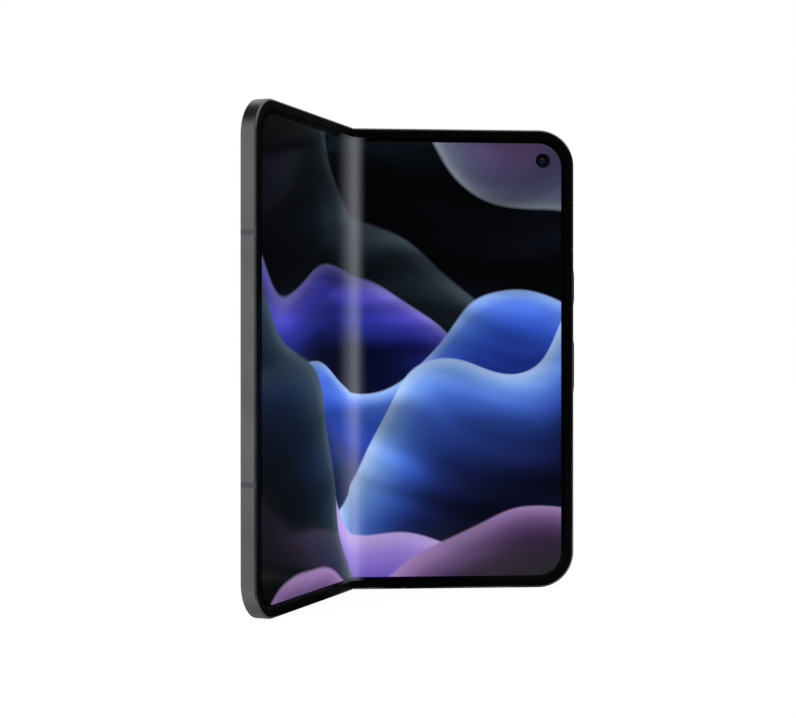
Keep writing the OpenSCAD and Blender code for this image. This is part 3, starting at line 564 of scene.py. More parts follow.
def bend_and_ride(obj, *replaced, slot, z=FILM_TOP):
    """Maps, bends and smooths a flat half, and hides the parts that it replaces."""
    flat_map(obj)
    side = fold_sheet(obj)
    smooth(obj, 30)
    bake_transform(obj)
    if replaced:
        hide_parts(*replaced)


BEND_STEPS = 14
bend_columns = [s * FOLD_L * i / BEND_STEPS for i in range(1, BEND_STEPS + 1) for s in (-1, 1)]


def flat_sheet(name, inset, z):
    """One plane over both halves, with the phone's rounded corners."""
    bpy.ops.object.select_all(action="DESELECT")
    bpy.ops.mesh.primitive_plane_add(size=1, location=(0, BODY_H / 2 * MM, z * MM))
    obj = named(name)
    obj.scale = ((2 * LEAF_W - 2 * inset) * MM, (BODY_H - 2 * inset) * MM, 1)
    settle(obj)
    pick(obj, mode="VERT")
    bpy.ops.mesh.bevel(offset=(CORNER_R - inset) * MM, affect="VERTICES", segments=20, profile=0.5)
    done()
    return obj


# %% Model the display sheet
sheet = flat_sheet("display_sheet", FILM_INSET, FILM_TOP)
modify(sheet, "SOLIDIFY", thickness=FILM_T * MM, offset=-1)
cut_across(sheet, ALONG_X, bend_columns + [-40, -20, 20, 40])
screen_main = half_of(sheet, "screen_main", 1)
screen_cover = half_of(sheet, "screen_cover", -1)
bpy.data.objects.remove(sheet)

INNER_CAM, PUNCH_R = (64.6, 144.9), 2.45
drill(screen_main, (*INNER_CAM, FILM_TOP), PUNCH_R)
bend_and_ride(screen_main, "inner_display_main", "inner_display_fold", slot="inner_screen")
bend_and_ride(screen_cover, "inner_display_cover", slot="inner_screen")
print("display halves:", len(screen_main.data.polygons), len(screen_cover.data.polygons), "faces")

# %% [markdown]
# Under the display a flat cable crosses the hinge. It bends by the same law, a little
# deeper, and is made in the same way from a thin box.

# %% Model the cable across the hinge
FLEX_LOW, FLEX_TOP, FLEX_Y, FLEX_W = -1.5, -1.3, 104.0, 12.0
cable = upright_box("cable", (0, FLEX_Y), 2 * FOLD_L, FLEX_W, FLEX_LOW, FLEX_TOP)
cut_across(cable, ALONG_X, [x for x in bend_columns if abs(x) < FOLD_L])
flex_main = half_of(cable, "hinge_flex_main", 1)
flex_cover = half_of(cable, "hinge_flex_cover", -1)
bpy.data.objects.remove(cable)
bend_and_ride(flex_main, "hinge_flex", slot="flex_film", z=FLEX_TOP)
bend_and_ride(flex_cover, slot="flex_film", z=FLEX_TOP)

# %% [markdown]
# ## The soft rim
#
# Round the display lies a raised rim of black elastomer that keeps the two screens apart
# when the phone is shut. It is inset from a plane like the display's, its middle deleted,
# given its thickness and rounded edges, and then cut and bent in the same way.

# %% Model the rim
rim = flat_sheet("rim_sheet", LIP_W, 0)
pick(rim)
bpy.ops.mesh.inset(thickness=(BEZEL_INSET - LIP_W) * MM, use_even_offset=True)
bpy.ops.mesh.delete(type="FACE")
done()
modify(rim, "SOLIDIFY", thickness=BEZEL_T * MM, offset=-1)
pick(rim)
bpy.ops.mesh.normals_make_consistent(inside=False)
done()
soften(rim, 0.1, 3, 50)
cut_across(rim, ALONG_X, bend_columns)
rim_main = half_of(rim, "rim_main", 1)
rim_cover = half_of(rim, "rim_cover", -1)
bpy.data.objects.remove(rim)
bend_and_ride(rim_main, "main_bezel", "fold_bezels", slot="soft_bezel")
bend_and_ride(rim_cover, "cover_bezel", slot="soft_bezel")
print("rim halves:", len(rim_main.data.polygons), len(rim_cover.data.polygons), "faces")

# %% Black elastomer
elastomer = grained(
    "black_elastomer_moulded", "#020203", 0.15, 3.0, (0.35, 0.65), (0.48, 0.66), (0.3, 0.004),
    Roughness=0.55, Specular_IOR_Level=0.04,
)
wear(rim_main, elastomer)
wear(rim_cover, elastomer)

# %% [markdown]
# ## What the screen shows
#
# The picture is a made-up one: soft layers, like folded silk or dunes seen from above, in
# black, teal, royal and sky blue, violet, lilac and plum. Each layer lies below a waving
# edge, bright at the edge and fading with depth, and covers the one before. Distances are
# in millimetres on the flat screen, centred on it, and a slow noise bends the edges.

# %% Layered waves
screen_glass, tree, shader, place = new_finish(
    "coated_flexible_display", Base_Color=colour("#030304"), Roughness=0.16,
    Specular_IOR_Level=0.2, Emission_Strength=1.0,
)
flat = add(tree, "UVMap", uv_map="flat").outputs["UV"]
centred = vector_node(tree, "MULTIPLY_ADD", flat, (100, 100, 0), (0, -BODY_H / 2, 0))
DRIFT, DRIFT_SIZE = 34, 70
drift = {"Vector": centred, "Scale": 1 / DRIFT_SIZE, "Detail": 1.0}
drift = add(tree, "TexNoise", drift, noise_dimensions="2D").outputs["Color"]
drift = vector_node(tree, "SUBTRACT", drift, (0.5, 0.5, 0.5))
warped = vector_node(tree, "MULTIPLY_ADD", drift, (DRIFT, DRIFT, 0), centred)


def silk_layer(under, turn, height, swing, wave, shift, soft, stops):
    """Lays one layer over the picture so far. stops gives colours by depth in mm."""
    c, s = math.cos(math.radians(turn)), math.sin(math.radians(turn))
    along = vector_node(tree, "DOT_PRODUCT", warped, (c, s, 0))
    across = vector_node(tree, "DOT_PRODUCT", warped, (-s, c, 0))
    phase = math_node(tree, "MULTIPLY_ADD", along, 2 * math.pi / wave, shift)
    edge = math_node(tree, "MULTIPLY_ADD", math_node(tree, "SINE", phase), swing, height)
    depth = math_node(tree, "SUBTRACT", edge, across)
    reach = max(stops)
    ramp = add(tree, "ValToRGB", {"Fac": between(tree, depth, 0, reach)})
    ramp.color_ramp.interpolation = "B_SPLINE"
    elements = ramp.color_ramp.elements
    while len(elements) < len(stops):
        elements.new(0.5)
    for element, (at, hex_code) in zip(elements, stops.items()):
        element.position = at / reach
        element.color = colour(hex_code)
    return blend_colours(tree, between(tree, depth, -soft, soft), under, ramp.outputs["Color"])


def silk_streaks(under, turn, length, width, low, high):
    """Streaks of light and shade along one direction, as on folded silk."""
    scale = (1 / length, 1 / width, 1)
    run = {"Vector": warped, "Rotation": (0, 0, math.radians(-turn)), "Scale": scale}
    pattern = {"Vector": add(tree, "Mapping", run).outputs["Vector"], "Scale": 1.0, "Detail": 1.5}
    streak = add(tree, "TexNoise", pattern, noise_dimensions="2D").outputs["Fac"]
    share = {0: under, "Scale": between(tree, streak, 0.38, 0.62, low, high)}
    return add(tree, "VectorMath", share, operation="SCALE").outputs["Vector"]


picture = (0.001, 0.0012, 0.003, 1)
for lay, *numbers in [
    # A layer's turn, height, swing, wavelength, shift and edge softness, then its colours
    (silk_layer, 35, 66, 8, 170, 0.4, 6, {0: "#22333d", 12: "#0e181f", 30: "#05070c", 70: "#05070d"}),
    (silk_streaks, 20, 90, 22, 0.3, 1.2),
    (silk_layer, -52, 34, 9, 130, 1.2, 0.6, {0: "#46545f", 6: "#18222b", 22: "#06090f", 60: "#040509"}),
    (silk_layer, 150, -80, 5, 120, 1.0, 0.6,
     {0: "#858d9c", 3: "#555a70", 9: "#474469", 18: "#45324f", 30: "#2c2340"}),
    (silk_layer, -18, 17, 13, 118, 2.1, 0.5,
     {0: "#8f86dc", 4: "#4a46c4", 13: "#1f2c8e", 27: "#080c22", 60: "#04050b"}),
    (silk_streaks, -24, 90, 20, 0.55, 1.15),
    (silk_layer, 16, -3, 15, 101, 4.6, 0.4,
     {0: "#9cc0f4", 4: "#3f6fe8", 15: "#2743b8", 30: "#12185a", 50: "#04050d"}),
    (silk_layer, 40, -27, 9, 88, 1.1, 0.35,
     {0: "#b4cff6", 5: "#6f9fee", 14: "#3a5fd0", 26: "#151b4a", 44: "#05060f"}),
    (silk_streaks, 34, 80, 18, 0.6, 1.15),
    (silk_layer, -34, -40, 11, 92, 3.4, 0.4,
     {0: "#c9b0ea", 6: "#8a70cf", 16: "#4d3a96", 29: "#17122f", 50: "#06060c"}),
    (silk_layer, -53, -37, 6, 110, 2.2, 0.5, {0: "#46575b", 4: "#1a272b", 14: "#0b1416", 34: "#050709"}),
    (silk_layer, 10, -62, 8, 105, 5.2, 0.5, {0: "#9f7fb4", 6: "#5d4272", 15: "#2a1a33", 34: "#0b0810"}),
    (silk_streaks, 5, 90, 20, 0.7, 1.1),
]:
    picture = lay(picture, *numbers)

# The lit area keeps some 4.5 mm from the outer edge; a black border shows beyond it
LIT_MIDDLE, LIT_HALF_W, LIT_HALF_H, LIT_R = (0.25, -0.2, 0), LEAF_W - 4.5, BODY_H / 2 - 4.33, 8
lit_point = vector_node(tree, "SUBTRACT", centred, LIT_MIDDLE)
lit = inside_frame(tree, lit_point, LIT_HALF_W, LIT_HALF_H, LIT_R, 0.06)
tree.links.new(between(tree, lit, 0, 1, 0.03, 0.2), shader.inputs["Specular IOR Level"])
tree.links.new(blend_colours(tree, lit, (0, 0, 0, 1), picture), shader.inputs["Emission Color"])

# %% [markdown]
# ## The crease, and a painted highlight along it
#
# Bent to and fro, the display's soft top layer crazes finely along the fold, and is rougher
# there. The soft pale band down the middle is a painted highlight: grey put into the colour
# in place of the light that the bend reflects. It is strongest at the fold line, and gone
# about 5 mm away on the main half and 17 mm away on the cover half, where the view grazes
# the screen.

# %% The crease in the finish, with its painted highlight
FADE_COVER, FADE_MAIN = -17, 5.2
from_fold = add(tree, "SeparateXYZ", {0: centred}).outputs[0]
crease_and_painted_highlight = math_node(tree, "MINIMUM", *(
    between(tree, from_fold, far, 0, 0, 1, interpolation_type="SMOOTHSTEP")
    for far in (FADE_COVER, FADE_MAIN)
))
# Painted highlight: grey mixed into the colour along the fold, in place of the light that the bend reflects
tint(tree, shader, math_node(tree, "POWER", crease_and_painted_highlight, 1.5), "#030304", "#6e6f75")
roughen(tree, shader, crease_and_painted_highlight, 0, 1, 0.16, 0.5)
wear(screen_main, screen_glass)
wear(screen_cover, screen_glass)

# %% [markdown]
# ## The inner camera
#
# Under a round hole in the display sits a small camera: a black ring, a sloping throat and
# a coated front element. The profile is drawn as a line of points and spun into a solid of
# revolution, as on a lathe.


# %% Turned parts
def turned(name, profile, middle, steps=48):
    """Spins a profile of (radius, height) points, in mm, about an upright axis at middle."""
    bpy.ops.object.select_all(action="DESELECT")
    bpy.ops.mesh.primitive_plane_add(size=1)
    obj = named(name)
    pick(obj)
    bpy.ops.mesh.delete(type="VERT")
    done()
    points = [(r * MM, 0, z * MM) for r, z in profile]
    obj.data.from_pydata(points, [(i, i + 1) for i in range(len(points) - 1)], [])
    only(obj)
    bpy.ops.object.mode_set(mode="EDIT")
    bpy.ops.mesh.select_all(action="SELECT")
    bpy.ops.mesh.spin(steps=steps, angle=2 * math.pi, center=(0, 0, 0), axis=(0, 0, 1))
    bpy.ops.mesh.select_all(action="SELECT")
    bpy.ops.mesh.remove_doubles(threshold=0.0005 * MM)
    bpy.ops.mesh.normals_make_consistent(inside=False)
    done()
    obj.location = Vector((*middle, 0)) * MM
    return settle(obj)


def on_base(obj, middle, half, low, high):
    """Joins the square base that holds the sensor to a turned barrel."""
    base = upright_box("base", middle, 2 * half, 2 * half, low, high)
    soften(base, 0.2, 2)
    modify(obj, "BOOLEAN", object=base, operation="UNION", solver="EXACT")
    bpy.data.objects.remove(base)
    return obj


# %% Model the inner camera
ring = turned(
    "inner_camera_ring",
    [
        (0, -3.2), (2.38, -3.2), (2.38, -0.42), (2.3, -0.36), (1.55, -0.36), (1.45, -0.42),
        (0.95, -0.85), (0.95, -1.15), (0, -1.15),
    ],
    INNER_CAM,
)
on_base(ring, INNER_CAM, 2.7, -4.0, -1.3)
eye = turned(
    "inner_camera_lens",
    [(0, -0.62), (0.35, -0.65), (0.7, -0.74), (0.93, -0.88), (0.93, -1.1), (0, -1.1)],
    INNER_CAM,
)

# %% Lens finishes
barrel_black = grained(
    "black_anodised_barrel", "#070708", 0.1, 2.0, (0.3, 0.7), (0.28, 0.42), (0.2, 0.003),
    Roughness=0.4, Specular_IOR_Level=0.2,
)
ring_black = grained(
    "matt_black_ring", "#020203", 0.1, 2.0, (0.3, 0.7), (0.5, 0.7), Roughness=0.6, Specular_IOR_Level=0.08
)
coated_lens, tree, shader, place = new_finish(
    "coated_lens_element", Base_Color=colour("#04050a"), Roughness=0.04, Coat_Weight=0.1,
    Coat_Roughness=0.02, Specular_IOR_Level=0.15,
)
# Painted sheen: the colour turns from deep blue face on, through teal, to violet where the view slants, in
# place of the coloured reflection of the coating
facing = add(tree, "LayerWeight", {"Blend": 0.35}).outputs["Facing"]
painted_coating_sheen = add(tree, "ValToRGB", {"Fac": facing})
sheen_hues = painted_coating_sheen.color_ramp.elements
for element, (at, hex_code) in zip(
    [sheen_hues[0], sheen_hues[1], sheen_hues.new(0.5)], [(0.0, "#0a0e26"), (1.0, "#3c2a66"), (0.5, "#173650")]
):
    element.position, element.color = at, colour(hex_code)
tree.links.new(painted_coating_sheen.outputs["Color"], shader.inputs["Base Color"])
wear(ring, ring_black)
wear(eye, coated_lens)
stand_up(ring, AT_MAIN, "main_half", "inner_camera", slot="camera_black")
stand_up(eye, AT_MAIN, "main_half", slot="lens_glass")

# %% [markdown]
# ## The keys
#
# The power key and the volume key stand 0.5 mm proud of the right side. Seen from the
# front their ends run out in short ramps; seen from the side they are slots with round
# ends. A box is cut near each end, the end corners of its outer face are pushed in, and
# the box is rounded. Behind the wall each key has a flange, and nubs that touch switches.

# %% Model the keys
SIDE_Z, KEY_W, KEY_PROUD, RAMP_L, RAMP_DROP = -LEAF_T / 2, 1.9, 0.5, 2.6, 0.4
FLANGE_T, FLANGE_MORE, NUB_L, NUB_W = 0.3, 0.6, 2, 0.94


def key_box(name, x0, x1, y, length, width):
    """A box that reaches in from the phone's side, about its mid height and a place along it."""
    low = (x0, y - length / 2, SIDE_Z - width / 2)
    return bench_box(name, low, (x1, y + length / 2, SIDE_Z + width / 2))


def side_key(name, y, length, flange_x, nub_x, nubs):
    """A key from its place along the side, with the inner ends of its flange and nubs."""
    half = length / 2
    cap = key_box(name, flange_x, LEAF_W + KEY_PROUD, y, length, KEY_W)
    cut_across(cap, ALONG_Y, [y - half + RAMP_L, y + half - RAMP_L])
    pick(cap, lambda c, n: c.x > LEAF_W and abs(c.y - y) > half - 0.01, "VERT")
    bpy.ops.transform.translate(value=(-RAMP_DROP * MM, 0, 0))
    done()
    bevel_edges(cap, lambda c, d: abs(d.x) > 0.99, 0.93, 8)
    soften(cap, 0.16, 3, 8)
    flange = key_box(name + "_flange", flange_x, flange_x + FLANGE_T, y, length + 2 * FLANGE_MORE, KEY_W)
    parts = [soften(flange, 0.1, 2)]
    for nub_y in nubs:
        nub = key_box(name + "_nub", nub_x, flange_x + 0.2, nub_y, NUB_L, NUB_W)
        parts.append(soften(nub, 0.06, 2))
    return wear(join(cap, parts), key_metal)


POWER_Y, POWER_L, VOLUME_Y, VOLUME_L, VOLUME_NUBS = 101.9, 14.3, 75.1, 19.9, (68.47, 81.73)
power_key = side_key("power_key_cap", POWER_Y, POWER_L, 73.35, 73.1, [POWER_Y])
volume_key = side_key("volume_key_cap", VOLUME_Y, VOLUME_L, 73.15, 72.97, VOLUME_NUBS)
stand_up(power_key, AT_MAIN, "power_key", "power_button", slot="frame_metal")
stand_up(volume_key, AT_MAIN, "volume_key", "volume_rocker", slot="frame_metal")

# %% [markdown]
# ## The back panes
#
# The back of the main half is frosted glass, and the back of the cover half is the clear
# glass of the outer screen. Both are panes with their rims rounded by polishing, which
# draws a thin bright line round them. A box gets two round corners, a hole for the camera
# island where there is one, and a soft rim.

# %% Model the panes
BACK_Z, PANE_T, PANE_INSET, PANE_START = -LEAF_T, 0.6, 0.9, 5.05
ISLAND_AT, ISLAND_W, ISLAND_H, ISLAND_R, ISLAND_PROUD, ISLAND_LEDGE = (49.6, 133.2), 36, 32, 8, 2, 2


def upright_pill(name, middle, length, width, low, high, radius=None):
    """A box with round corners, or with round ends where no radius is given."""
    obj = upright_box(name, middle, length, width, low, high)
    return bevel_edges(obj, lambda c, d: abs(d.z) > 0.99, radius or width / 2 - 0.01, 16)


def back_pane(name, side):
    x0, x1 = sorted((side * PANE_START, side * (LEAF_W - PANE_INSET)))
    pane = bench_box(name, (x0, PANE_INSET, BACK_Z), (x1, BODY_H - PANE_INSET, BACK_Z + PANE_T))
    return bevel_edges(
        pane, lambda c, d: abs(d.z) > 0.99 and abs(c.x) > LEAF_W / 2, CORNER_R - PANE_INSET, 24
    )


back_glass = back_pane("back_glass_pane", 1)
cut_away(back_glass, upright_pill(
    "island_hole", ISLAND_AT, ISLAND_W - 2 * ISLAND_LEDGE, ISLAND_H - 2 * ISLAND_LEDGE, -8, -3,
    ISLAND_R - ISLAND_LEDGE,
))
soften(back_glass, 0.18, 4, 50)
cover_glass = soften(back_pane("cover_glass_pane", -1), 0.22, 4, 50)

# %% [markdown]
# The frosted glass is etched, so it scatters light softly, over a slate grey ink. The
# cover glass is clear and polished over a screen that is off: near black with a bluish
# depth, and a border of plain black ink all round.

# %% Glass finishes
frosted, tree, shader, place = new_finish(
    "etched_glass_over_slate_ink", Roughness=0.34, Coat_Weight=0.25, Coat_Roughness=0.35
)
etch = noise(tree, place, 0.18)
cloud = noise(tree, place, 30)
tint(tree, shader, between(tree, cloud, 0.35, 0.65), "#3c3e42", "#424448")
roughen(tree, shader, etch, 0.3, 0.7, 0.30, 0.40)
emboss(tree, shader, etch, 0.25, 0.003)
wear(back_glass, frosted)
stand_up(back_glass, AT_MAIN, "main_half", "back_cover", slot="back_glass")

SCREEN_W, SCREEN_H, SCREEN_R = 65.2, 149.2, 8
clear_cover, tree, shader, place = new_finish(
    "polished_glass_over_dark_screen", Roughness=0.05, Coat_Weight=0.1, Coat_Roughness=0.03,
    Specular_IOR_Level=0.35,
)
flat = add(tree, "UVMap", uv_map="flat").outputs["UV"]
pane_middle = ((LEAF_W + PANE_START - PANE_INSET) / 2, -BODY_H / 2, 0)
centred = vector_node(tree, "MULTIPLY_ADD", flat, (100, 100, 0), pane_middle)
inside = inside_frame(tree, centred, SCREEN_W / 2, SCREEN_H / 2, SCREEN_R, 0.1)
tint(tree, shader, inside, "#020203", "#090a0d")
roughen(tree, shader, noise(tree, place, 22, 4.0), 0.45, 0.75, 0.04, 0.12)
flat_map(cover_glass)
wear(cover_glass, clear_cover)
stand_up(cover_glass, AT_COVER, "cover_half", "cover_glass", slot="cover_glass")

# %% [markdown]
# ## The camera island
#
# A block milled from the same metal as the frame, with soft edges and two long pockets
# that take the windows. Under each window lies a black mask with a round opening for each
# lens. The pockets and openings are cut with rounded cutters, as the milling tool does.

# %% Model the island, its windows and masks
WINDOW_W, WINDOW_H, WINDOW_T, PITCH_UP, PITCH_OVER = 28, 12, 0.5, 14.6, 14
LENS_HOLE_R, FLASH_HOLE_R, WELL_STEP, FIT = 3.7, 1.9, 2, 0.1
FACE_Z = BACK_Z - ISLAND_PROUD
island = upright_pill("camera_island_block", ISLAND_AT, ISLAND_W, ISLAND_H, FACE_Z, BACK_Z, ISLAND_R)
bevel_edges(island, lambda c, d: c.z < FACE_Z + 0.01 and abs(d.z) < 0.1, 0.5, 4)
window_back, cut_from = FACE_Z + WINDOW_T, FACE_Z - 1
windows = []
for row, up in enumerate((-PITCH_UP / 2, PITCH_UP / 2)):
    at = (ISLAND_AT[0], ISLAND_AT[1] + up)
    cut_away(island, upright_pill("pocket", at, WINDOW_W, WINDOW_H, cut_from, window_back))
    cut_away(island, upright_pill("well", at, WINDOW_W - WELL_STEP, WINDOW_H - WELL_STEP, cut_from, BACK_Z + 1))
    pane = upright_pill(
        f"camera_window_{row + 1}", at, WINDOW_W - FIT, WINDOW_H - FIT, FACE_Z, window_back - 0.02
    )
    mask = upright_pill(
        f"camera_mask_{row + 1}", at, WINDOW_W - WELL_STEP - FIT, WINDOW_H - WELL_STEP - FIT,
        window_back + 0.03, window_back + 0.1,
    )
    for over in (-1, 1):
        hole_r = FLASH_HOLE_R if (row, over) == (0, -1) else LENS_HOLE_R
        drill(mask, (at[0] + over * PITCH_OVER / 2, at[1], window_back), hole_r)
    windows.append((soften(pane, 0.08, 2, 50), mask))

# %% Island finishes
window_glass = grained(
    "clear_hard_glass", "#ffffff", 6, 5.0, (0.5, 0.8), (0.01, 0.05), Roughness=0.01, IOR=1.5,
    Transmission_Weight=1.0, Specular_Tint=(0.14, 0.17, 0.24, 1),
)
mask_ink = grained(
    "black_printed_mask", "#040405", 0.15, 2.0, (0.3, 0.7), (0.38, 0.52), Roughness=0.45,
    Specular_IOR_Level=0.12,
)
stand_up(wear(island, island_metal), AT_MAIN, "main_half", "camera_island", slot="island_metal")
for pane, mask in windows:
    stand_up(wear(pane, window_glass), AT_MAIN, "main_half", "camera_windows", slot="lens_glass")
    stand_up(wear(mask, mask_ink), AT_MAIN, "main_half", slot="camera_black")

# %% [markdown]
# ## The rear cameras
#
# Each camera is a stepped black barrel with a deep throat, and coated glass elements that
# bulge towards the back. The three have openings of different width, so their throats
# differ. The flash is a small ribbed lens over a yellow chip.

# %% Model the cameras
LENS_FRONT = FACE_Z + WINDOW_T + 0.25
BASE_LOW, BASE_HIGH, DOME_ANGLE = -3.2, -1.25, 1.05


def island_place(over, up):
    return (ISLAND_AT[0] + over * PITCH_OVER / 2, ISLAND_AT[1] + up * PITCH_UP / 2)


def rear_camera(name, over, up, throat, dome):
    """A barrel with a throat of this radius and a front element that bulges by dome."""
    middle, z = island_place(over, up), LENS_FRONT
    barrel = turned(
        name + "_barrel",
        [
            (0, BASE_LOW + 0.6), (4.2, BASE_LOW + 0.6), (4.2, z + 0.12), (4.08, z), (3.5, z), (3.42, z + 0.1),
            (throat + 0.45, z + 0.18), (throat + 0.4, z + 0.5), (throat + 0.12, z + 0.6), (throat, z + 0.95),
            (throat, z + 2.2), (0, z + 2.2),
        ],
        middle, 64,
    )
    on_base(barrel, middle, 4.5, BASE_LOW, BASE_HIGH)
    width, flat_end = throat * 0.99, math.cos(DOME_ANGLE)
    rise = []
    for a in np.linspace(0, DOME_ANGLE, 9):
        height = dome * (math.cos(a) - flat_end) / (1 - flat_end)
        rise.append((math.sin(a) * width / math.sin(DOME_ANGLE), z + 1.25 - height))
    element = turned(name + "_lens", rise + [(width, z + 2.0), (0, z + 2.0)], middle, 64)
    wear(barrel, barrel_black)
    wear(element, coated_lens)
    stand_up(barrel, AT_MAIN, "main_half", name, slot="camera_black")
    stand_up(element, AT_MAIN, "main_half", slot="lens_glass")


rear_camera("wide_camera", 1, 1, 2.6, 0.9)
rear_camera("ultrawide_camera", -1, 1, 2.2, 1.0)
rear_camera("tele_camera", 1, -1, 1.7, 0.5)

ribs = [(0.0, LENS_FRONT + 0.02)]
for step in range(6):
    r = 0.25 + 0.28 * step
    ribs += [(r, LENS_FRONT + 0.02), (r + 0.04, LENS_FRONT + 0.14)]
flash_at = island_place(-1, -1)
flash = turned("flash_lens", ribs + [(2.0, LENS_FRONT + 0.05), (2.0, -2.4), (0, -2.4)], flash_at)
on_base(flash, flash_at, 3, BASE_LOW, BASE_HIGH)

# %% Flash finish
flash_finish, tree, shader, place = new_finish(
    "moulded_diffuser_over_phosphor", Roughness=0.25, Subsurface_Weight=0.3, Subsurface_Scale=0.001
)
chip = from_axis(tree, place, *flash_at)
tint(tree, shader, between(tree, chip, 0.9 * MM, 1.3 * MM), "#e6d27a", "#d9d4c4")
wear(flash, flash_finish)
stand_up(flash, AT_MAIN, "main_half", "flash_led", slot="led_diffuser")

# %% [markdown]
# ## The charging port
#
# A drawn steel shell with a black tongue in it, and twelve gold contacts on each face of
# the tongue, half a millimetre apart.

# %% Model the port
PORT_X, PORT_Z, PORT_W, PORT_H, PORT_WALL, PORT_DEPTH = 38.0, -2.88, 8.34, 2.56, 0.3, 7.3
TONGUE_W, TONGUE_T, PAD_PITCH = 6.6, 0.7, 0.5


def port_bar(name, length, width, y0, y1):
    """A bar along y about the port's middle, seen from its end as a rounded slot."""
    low = (PORT_X - length / 2, y0, PORT_Z - width / 2)
    obj = bench_box(name, low, (PORT_X + length / 2, y1, PORT_Z + width / 2))
    return bevel_edges(obj, lambda c, d: abs(d.y) > 0.99, width / 2 - 0.01, 10)


shell = port_bar("port_shell", PORT_W + 2 * PORT_WALL, PORT_H + 2 * PORT_WALL, 0, PORT_DEPTH)
cut_away(shell, port_bar("port_space", PORT_W, PORT_H, -1, PORT_DEPTH - PORT_WALL))
soften(shell, 0.06, 2, 50)
tongue = bench_box(
    "port_tongue", (PORT_X - TONGUE_W / 2, 0.8, PORT_Z - TONGUE_T / 2),
    (PORT_X + TONGUE_W / 2, PORT_DEPTH - 0.15, PORT_Z + TONGUE_T / 2),
)
bevel_edges(tongue, lambda c, d: abs(d.z) > 0.99 and c.y < 1, 0.5, 6)
soften(tongue, 0.08, 2, 50)
pads = []
for i in range(12):
    for face in (-1, 1):
        x, z = PORT_X + (i - 5.5) * PAD_PITCH, PORT_Z + face * (TONGUE_T / 2 + 0.005)
        pads.append(bench_box("port_contacts", (x - 0.13, 1.3, z - 0.015), (x + 0.13, 4.6, z + 0.015)))
contacts = join(pads[0], pads[1:])

# %% [markdown]
# ## Finishes inside
#
# Most of what is inside shows only when the part is taken to pieces, but it is finished
# all the same: foil-wrapped cells, wound copper, lacquered boards, stamped shields, and
# the hinge's sintered and machined steel.


# %% Steels, gold and black plastic
def steel(name, hex_code, rough, grain_mm, stretch, depth=0.002):
    """Bare metal. stretch draws its grain out along one of the object's axes."""
    material, tree, shader, place = new_finish(name, Metallic=1.0)
    pulled = vector_node(tree, "MULTIPLY", place, stretch)
    grain = noise(tree, pulled, grain_mm, 3.0)
    dark = [0.85 * v for v in colour(hex_code)[:3]] + [1]
    tint(tree, shader, between(tree, grain, 0.3, 0.7), dark, hex_code)
    roughen(tree, shader, grain, 0.3, 0.7, rough - 0.06, rough + 0.06)
    emboss(tree, shader, grain, 0.3, depth)
    return material


drawn_steel = steel("drawn_stainless_steel", "#b9babc", 0.25, 0.3, (1, 1, 0.1))
stamped = steel("stamped_nickel_silver", "#c6c3ba", 0.3, 0.5, (1, 1, 0.15))
sintered = steel("sintered_steel_tumbled", "#8f9094", 0.38, 0.15, (1, 1, 1), 0.004)
ground = steel("ground_steel_rod", "#a9abaf", 0.2, 0.2, (1, 1, 6))
plated = steel("nickel_plated_magnet", "#c9c9c6", 0.18, 1.2, (1, 1, 1))
gold = steel("gold_plated_contact", "#d8b25a", 0.22, 0.3, (1, 1, 0.2))
blacked = steel("blackened_screw_steel", "#4a4b4e", 0.35, 0.2, (1, 1, 1))

black_plastic, tree, shader, place = new_finish(
    "black_moulded_polymer", Base_Color=colour("#0e0e10"), Roughness=0.5
)
spark = add(tree, "TexVoronoi", {"Vector": place, "Scale": 1000 / 0.3}).outputs["Distance"]
roughen(tree, shader, spark, 0.0, 0.8, 0.42, 0.58)
emboss(tree, shader, spark, 0.2, 0.006)

for names, material in {
    ("main_shields", "cover_shields", "key_bracket", "sim_reader", "vibration_motor"): stamped,
    ("main_magnets", "cover_magnets"): plated,
    ("main_arms", "cover_arms", "hinge_bases", "main_wing", "cover_wing", "fold_rest"): sintered,
    ("torque_shafts", "torque_springs"): ground,
    ("main_screws", "cover_screws", "hinge_base_screws"): blacked,
    ("key_switches",): gold,
    ("bottom_speaker", "top_speaker"): black_plastic,
    ("cover_camera",): barrel_black,
}.items():
    for name in names:
        wear(name, material)

wear(shell, drawn_steel)
wear(tongue, black_plastic)
wear(contacts, gold)
stand_up(shell, AT_MAIN, "main_half", "usb_c_port", slot="stamped_steel")
stand_up(tongue, AT_MAIN, "main_half", slot="camera_black")
stand_up(contacts, AT_MAIN, "main_half", slot="gold_contact")

# %% Cells, boards, films and the coil
wrap, tree, shader, place = new_finish("battery_laminate_foil", Roughness=0.4)
wrinkles = noise(tree, place, 4, 4.0, Distortion=0.6)
tint(tree, shader, between(tree, wrinkles, 0.35, 0.65), "#17181a", "#232427")
emboss(tree, shader, wrinkles, 0.4, 0.05)
wear("main_battery", wrap)
wear("cover_battery", wrap)

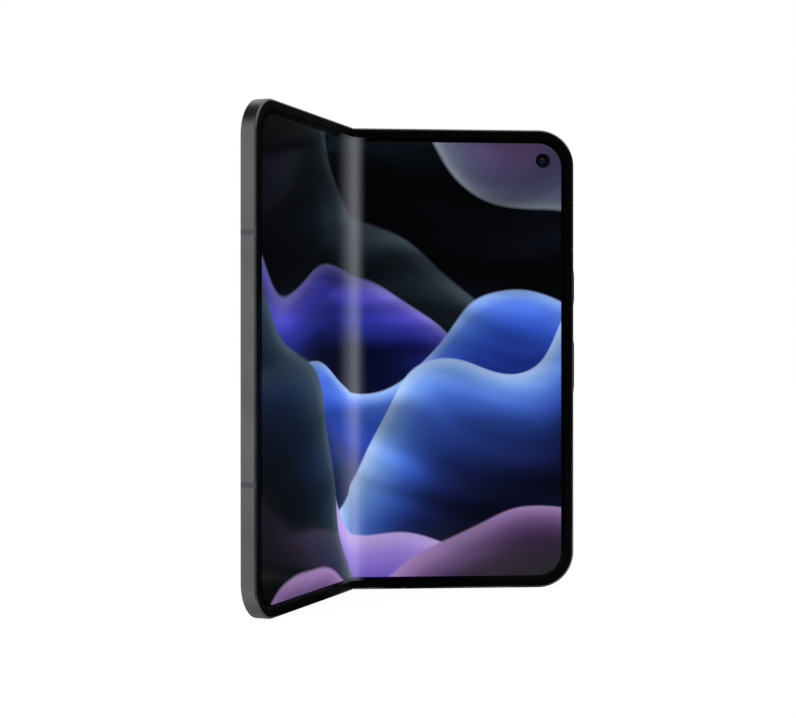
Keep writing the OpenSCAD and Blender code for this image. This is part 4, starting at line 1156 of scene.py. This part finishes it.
board, tree, shader, place = new_finish("lacquered_circuit_board", Roughness=0.3)
in_plane = vector_node(tree, "MULTIPLY", place, (1, 0, 1))
turned_up = add(tree, "Mapping", {"Vector": in_plane, "Rotation": (math.pi / 2, 0, 0)}).outputs["Vector"]
parts = add(tree, "TexBrick", {
    "Vector": turned_up, "Scale": 1000 / 12, "Mortar Size": 0.06, "Mortar Smooth": 0.0, "Bias": -0.3,
    "Brick Width": 0.32, "Row Height": 0.2,
}).outputs["Fac"]
waves = {"Vector": turned_up, "Scale": 1000 / 16, "Distortion": 0.0}
lines = add(tree, "TexWave", waves, bands_direction="DIAGONAL").outputs["Fac"]
lacquer = blend_colours(tree, between(tree, lines, 0.55, 0.65), colour("#0d2a1e"), colour("#154230"))
tint(tree, shader, parts, "#1a1b1c", lacquer)
emboss(tree, shader, parts, 0.5, 0.08, invert=True)
for name in ("main_board", "bottom_board", "cover_board"):
    wear(name, board)

film, tree, shader, place = new_finish("amber_polyimide_film", Roughness=0.3)
tracks = add(tree, "TexWave", {"Vector": place, "Scale": 1000 / 9}, bands_direction="Z").outputs["Fac"]
tint(tree, shader, between(tree, tracks, 0.4, 0.6), "#6b3a12", "#9a5a20")
for piece in ("main_flex", "cover_flex", flex_main, flex_cover):
    wear(piece, film)

COIL_AT, WIRE_PITCH = (40.0, 57.0), 0.8
wound, tree, shader, place = new_finish("wound_lacquered_copper", Metallic=1.0, Roughness=0.3)
turns = math_node(tree, "MULTIPLY", from_axis(tree, place, *COIL_AT), 2 * math.pi / (WIRE_PITCH * MM))
groove = between(tree, math_node(tree, "SINE", turns), -1, 1)
tint(tree, shader, groove, "#6e3a1e", "#c47a4a")
emboss(tree, shader, groove, 0.6, 0.1)
wear("charging_coil", wound)

panel = grained(
    "dark_screen_laminate", "#0b0c10", 2, 2.0, (0.3, 0.7), (0.15, 0.28), Roughness=0.2
)
wear("cover_panel", panel)

# %% Which nodes are left without a finish
bare = [name for name, obj in cad_nodes.items() if not obj.data.materials or obj.data.materials[0] is None]
print("CAD nodes without one of these finishes:", bare)

# %% [markdown]
# ## Finish

# %% Finish
bpy.context.scene.view_settings.view_transform = "Standard"
bpy.context.view_layer.update()
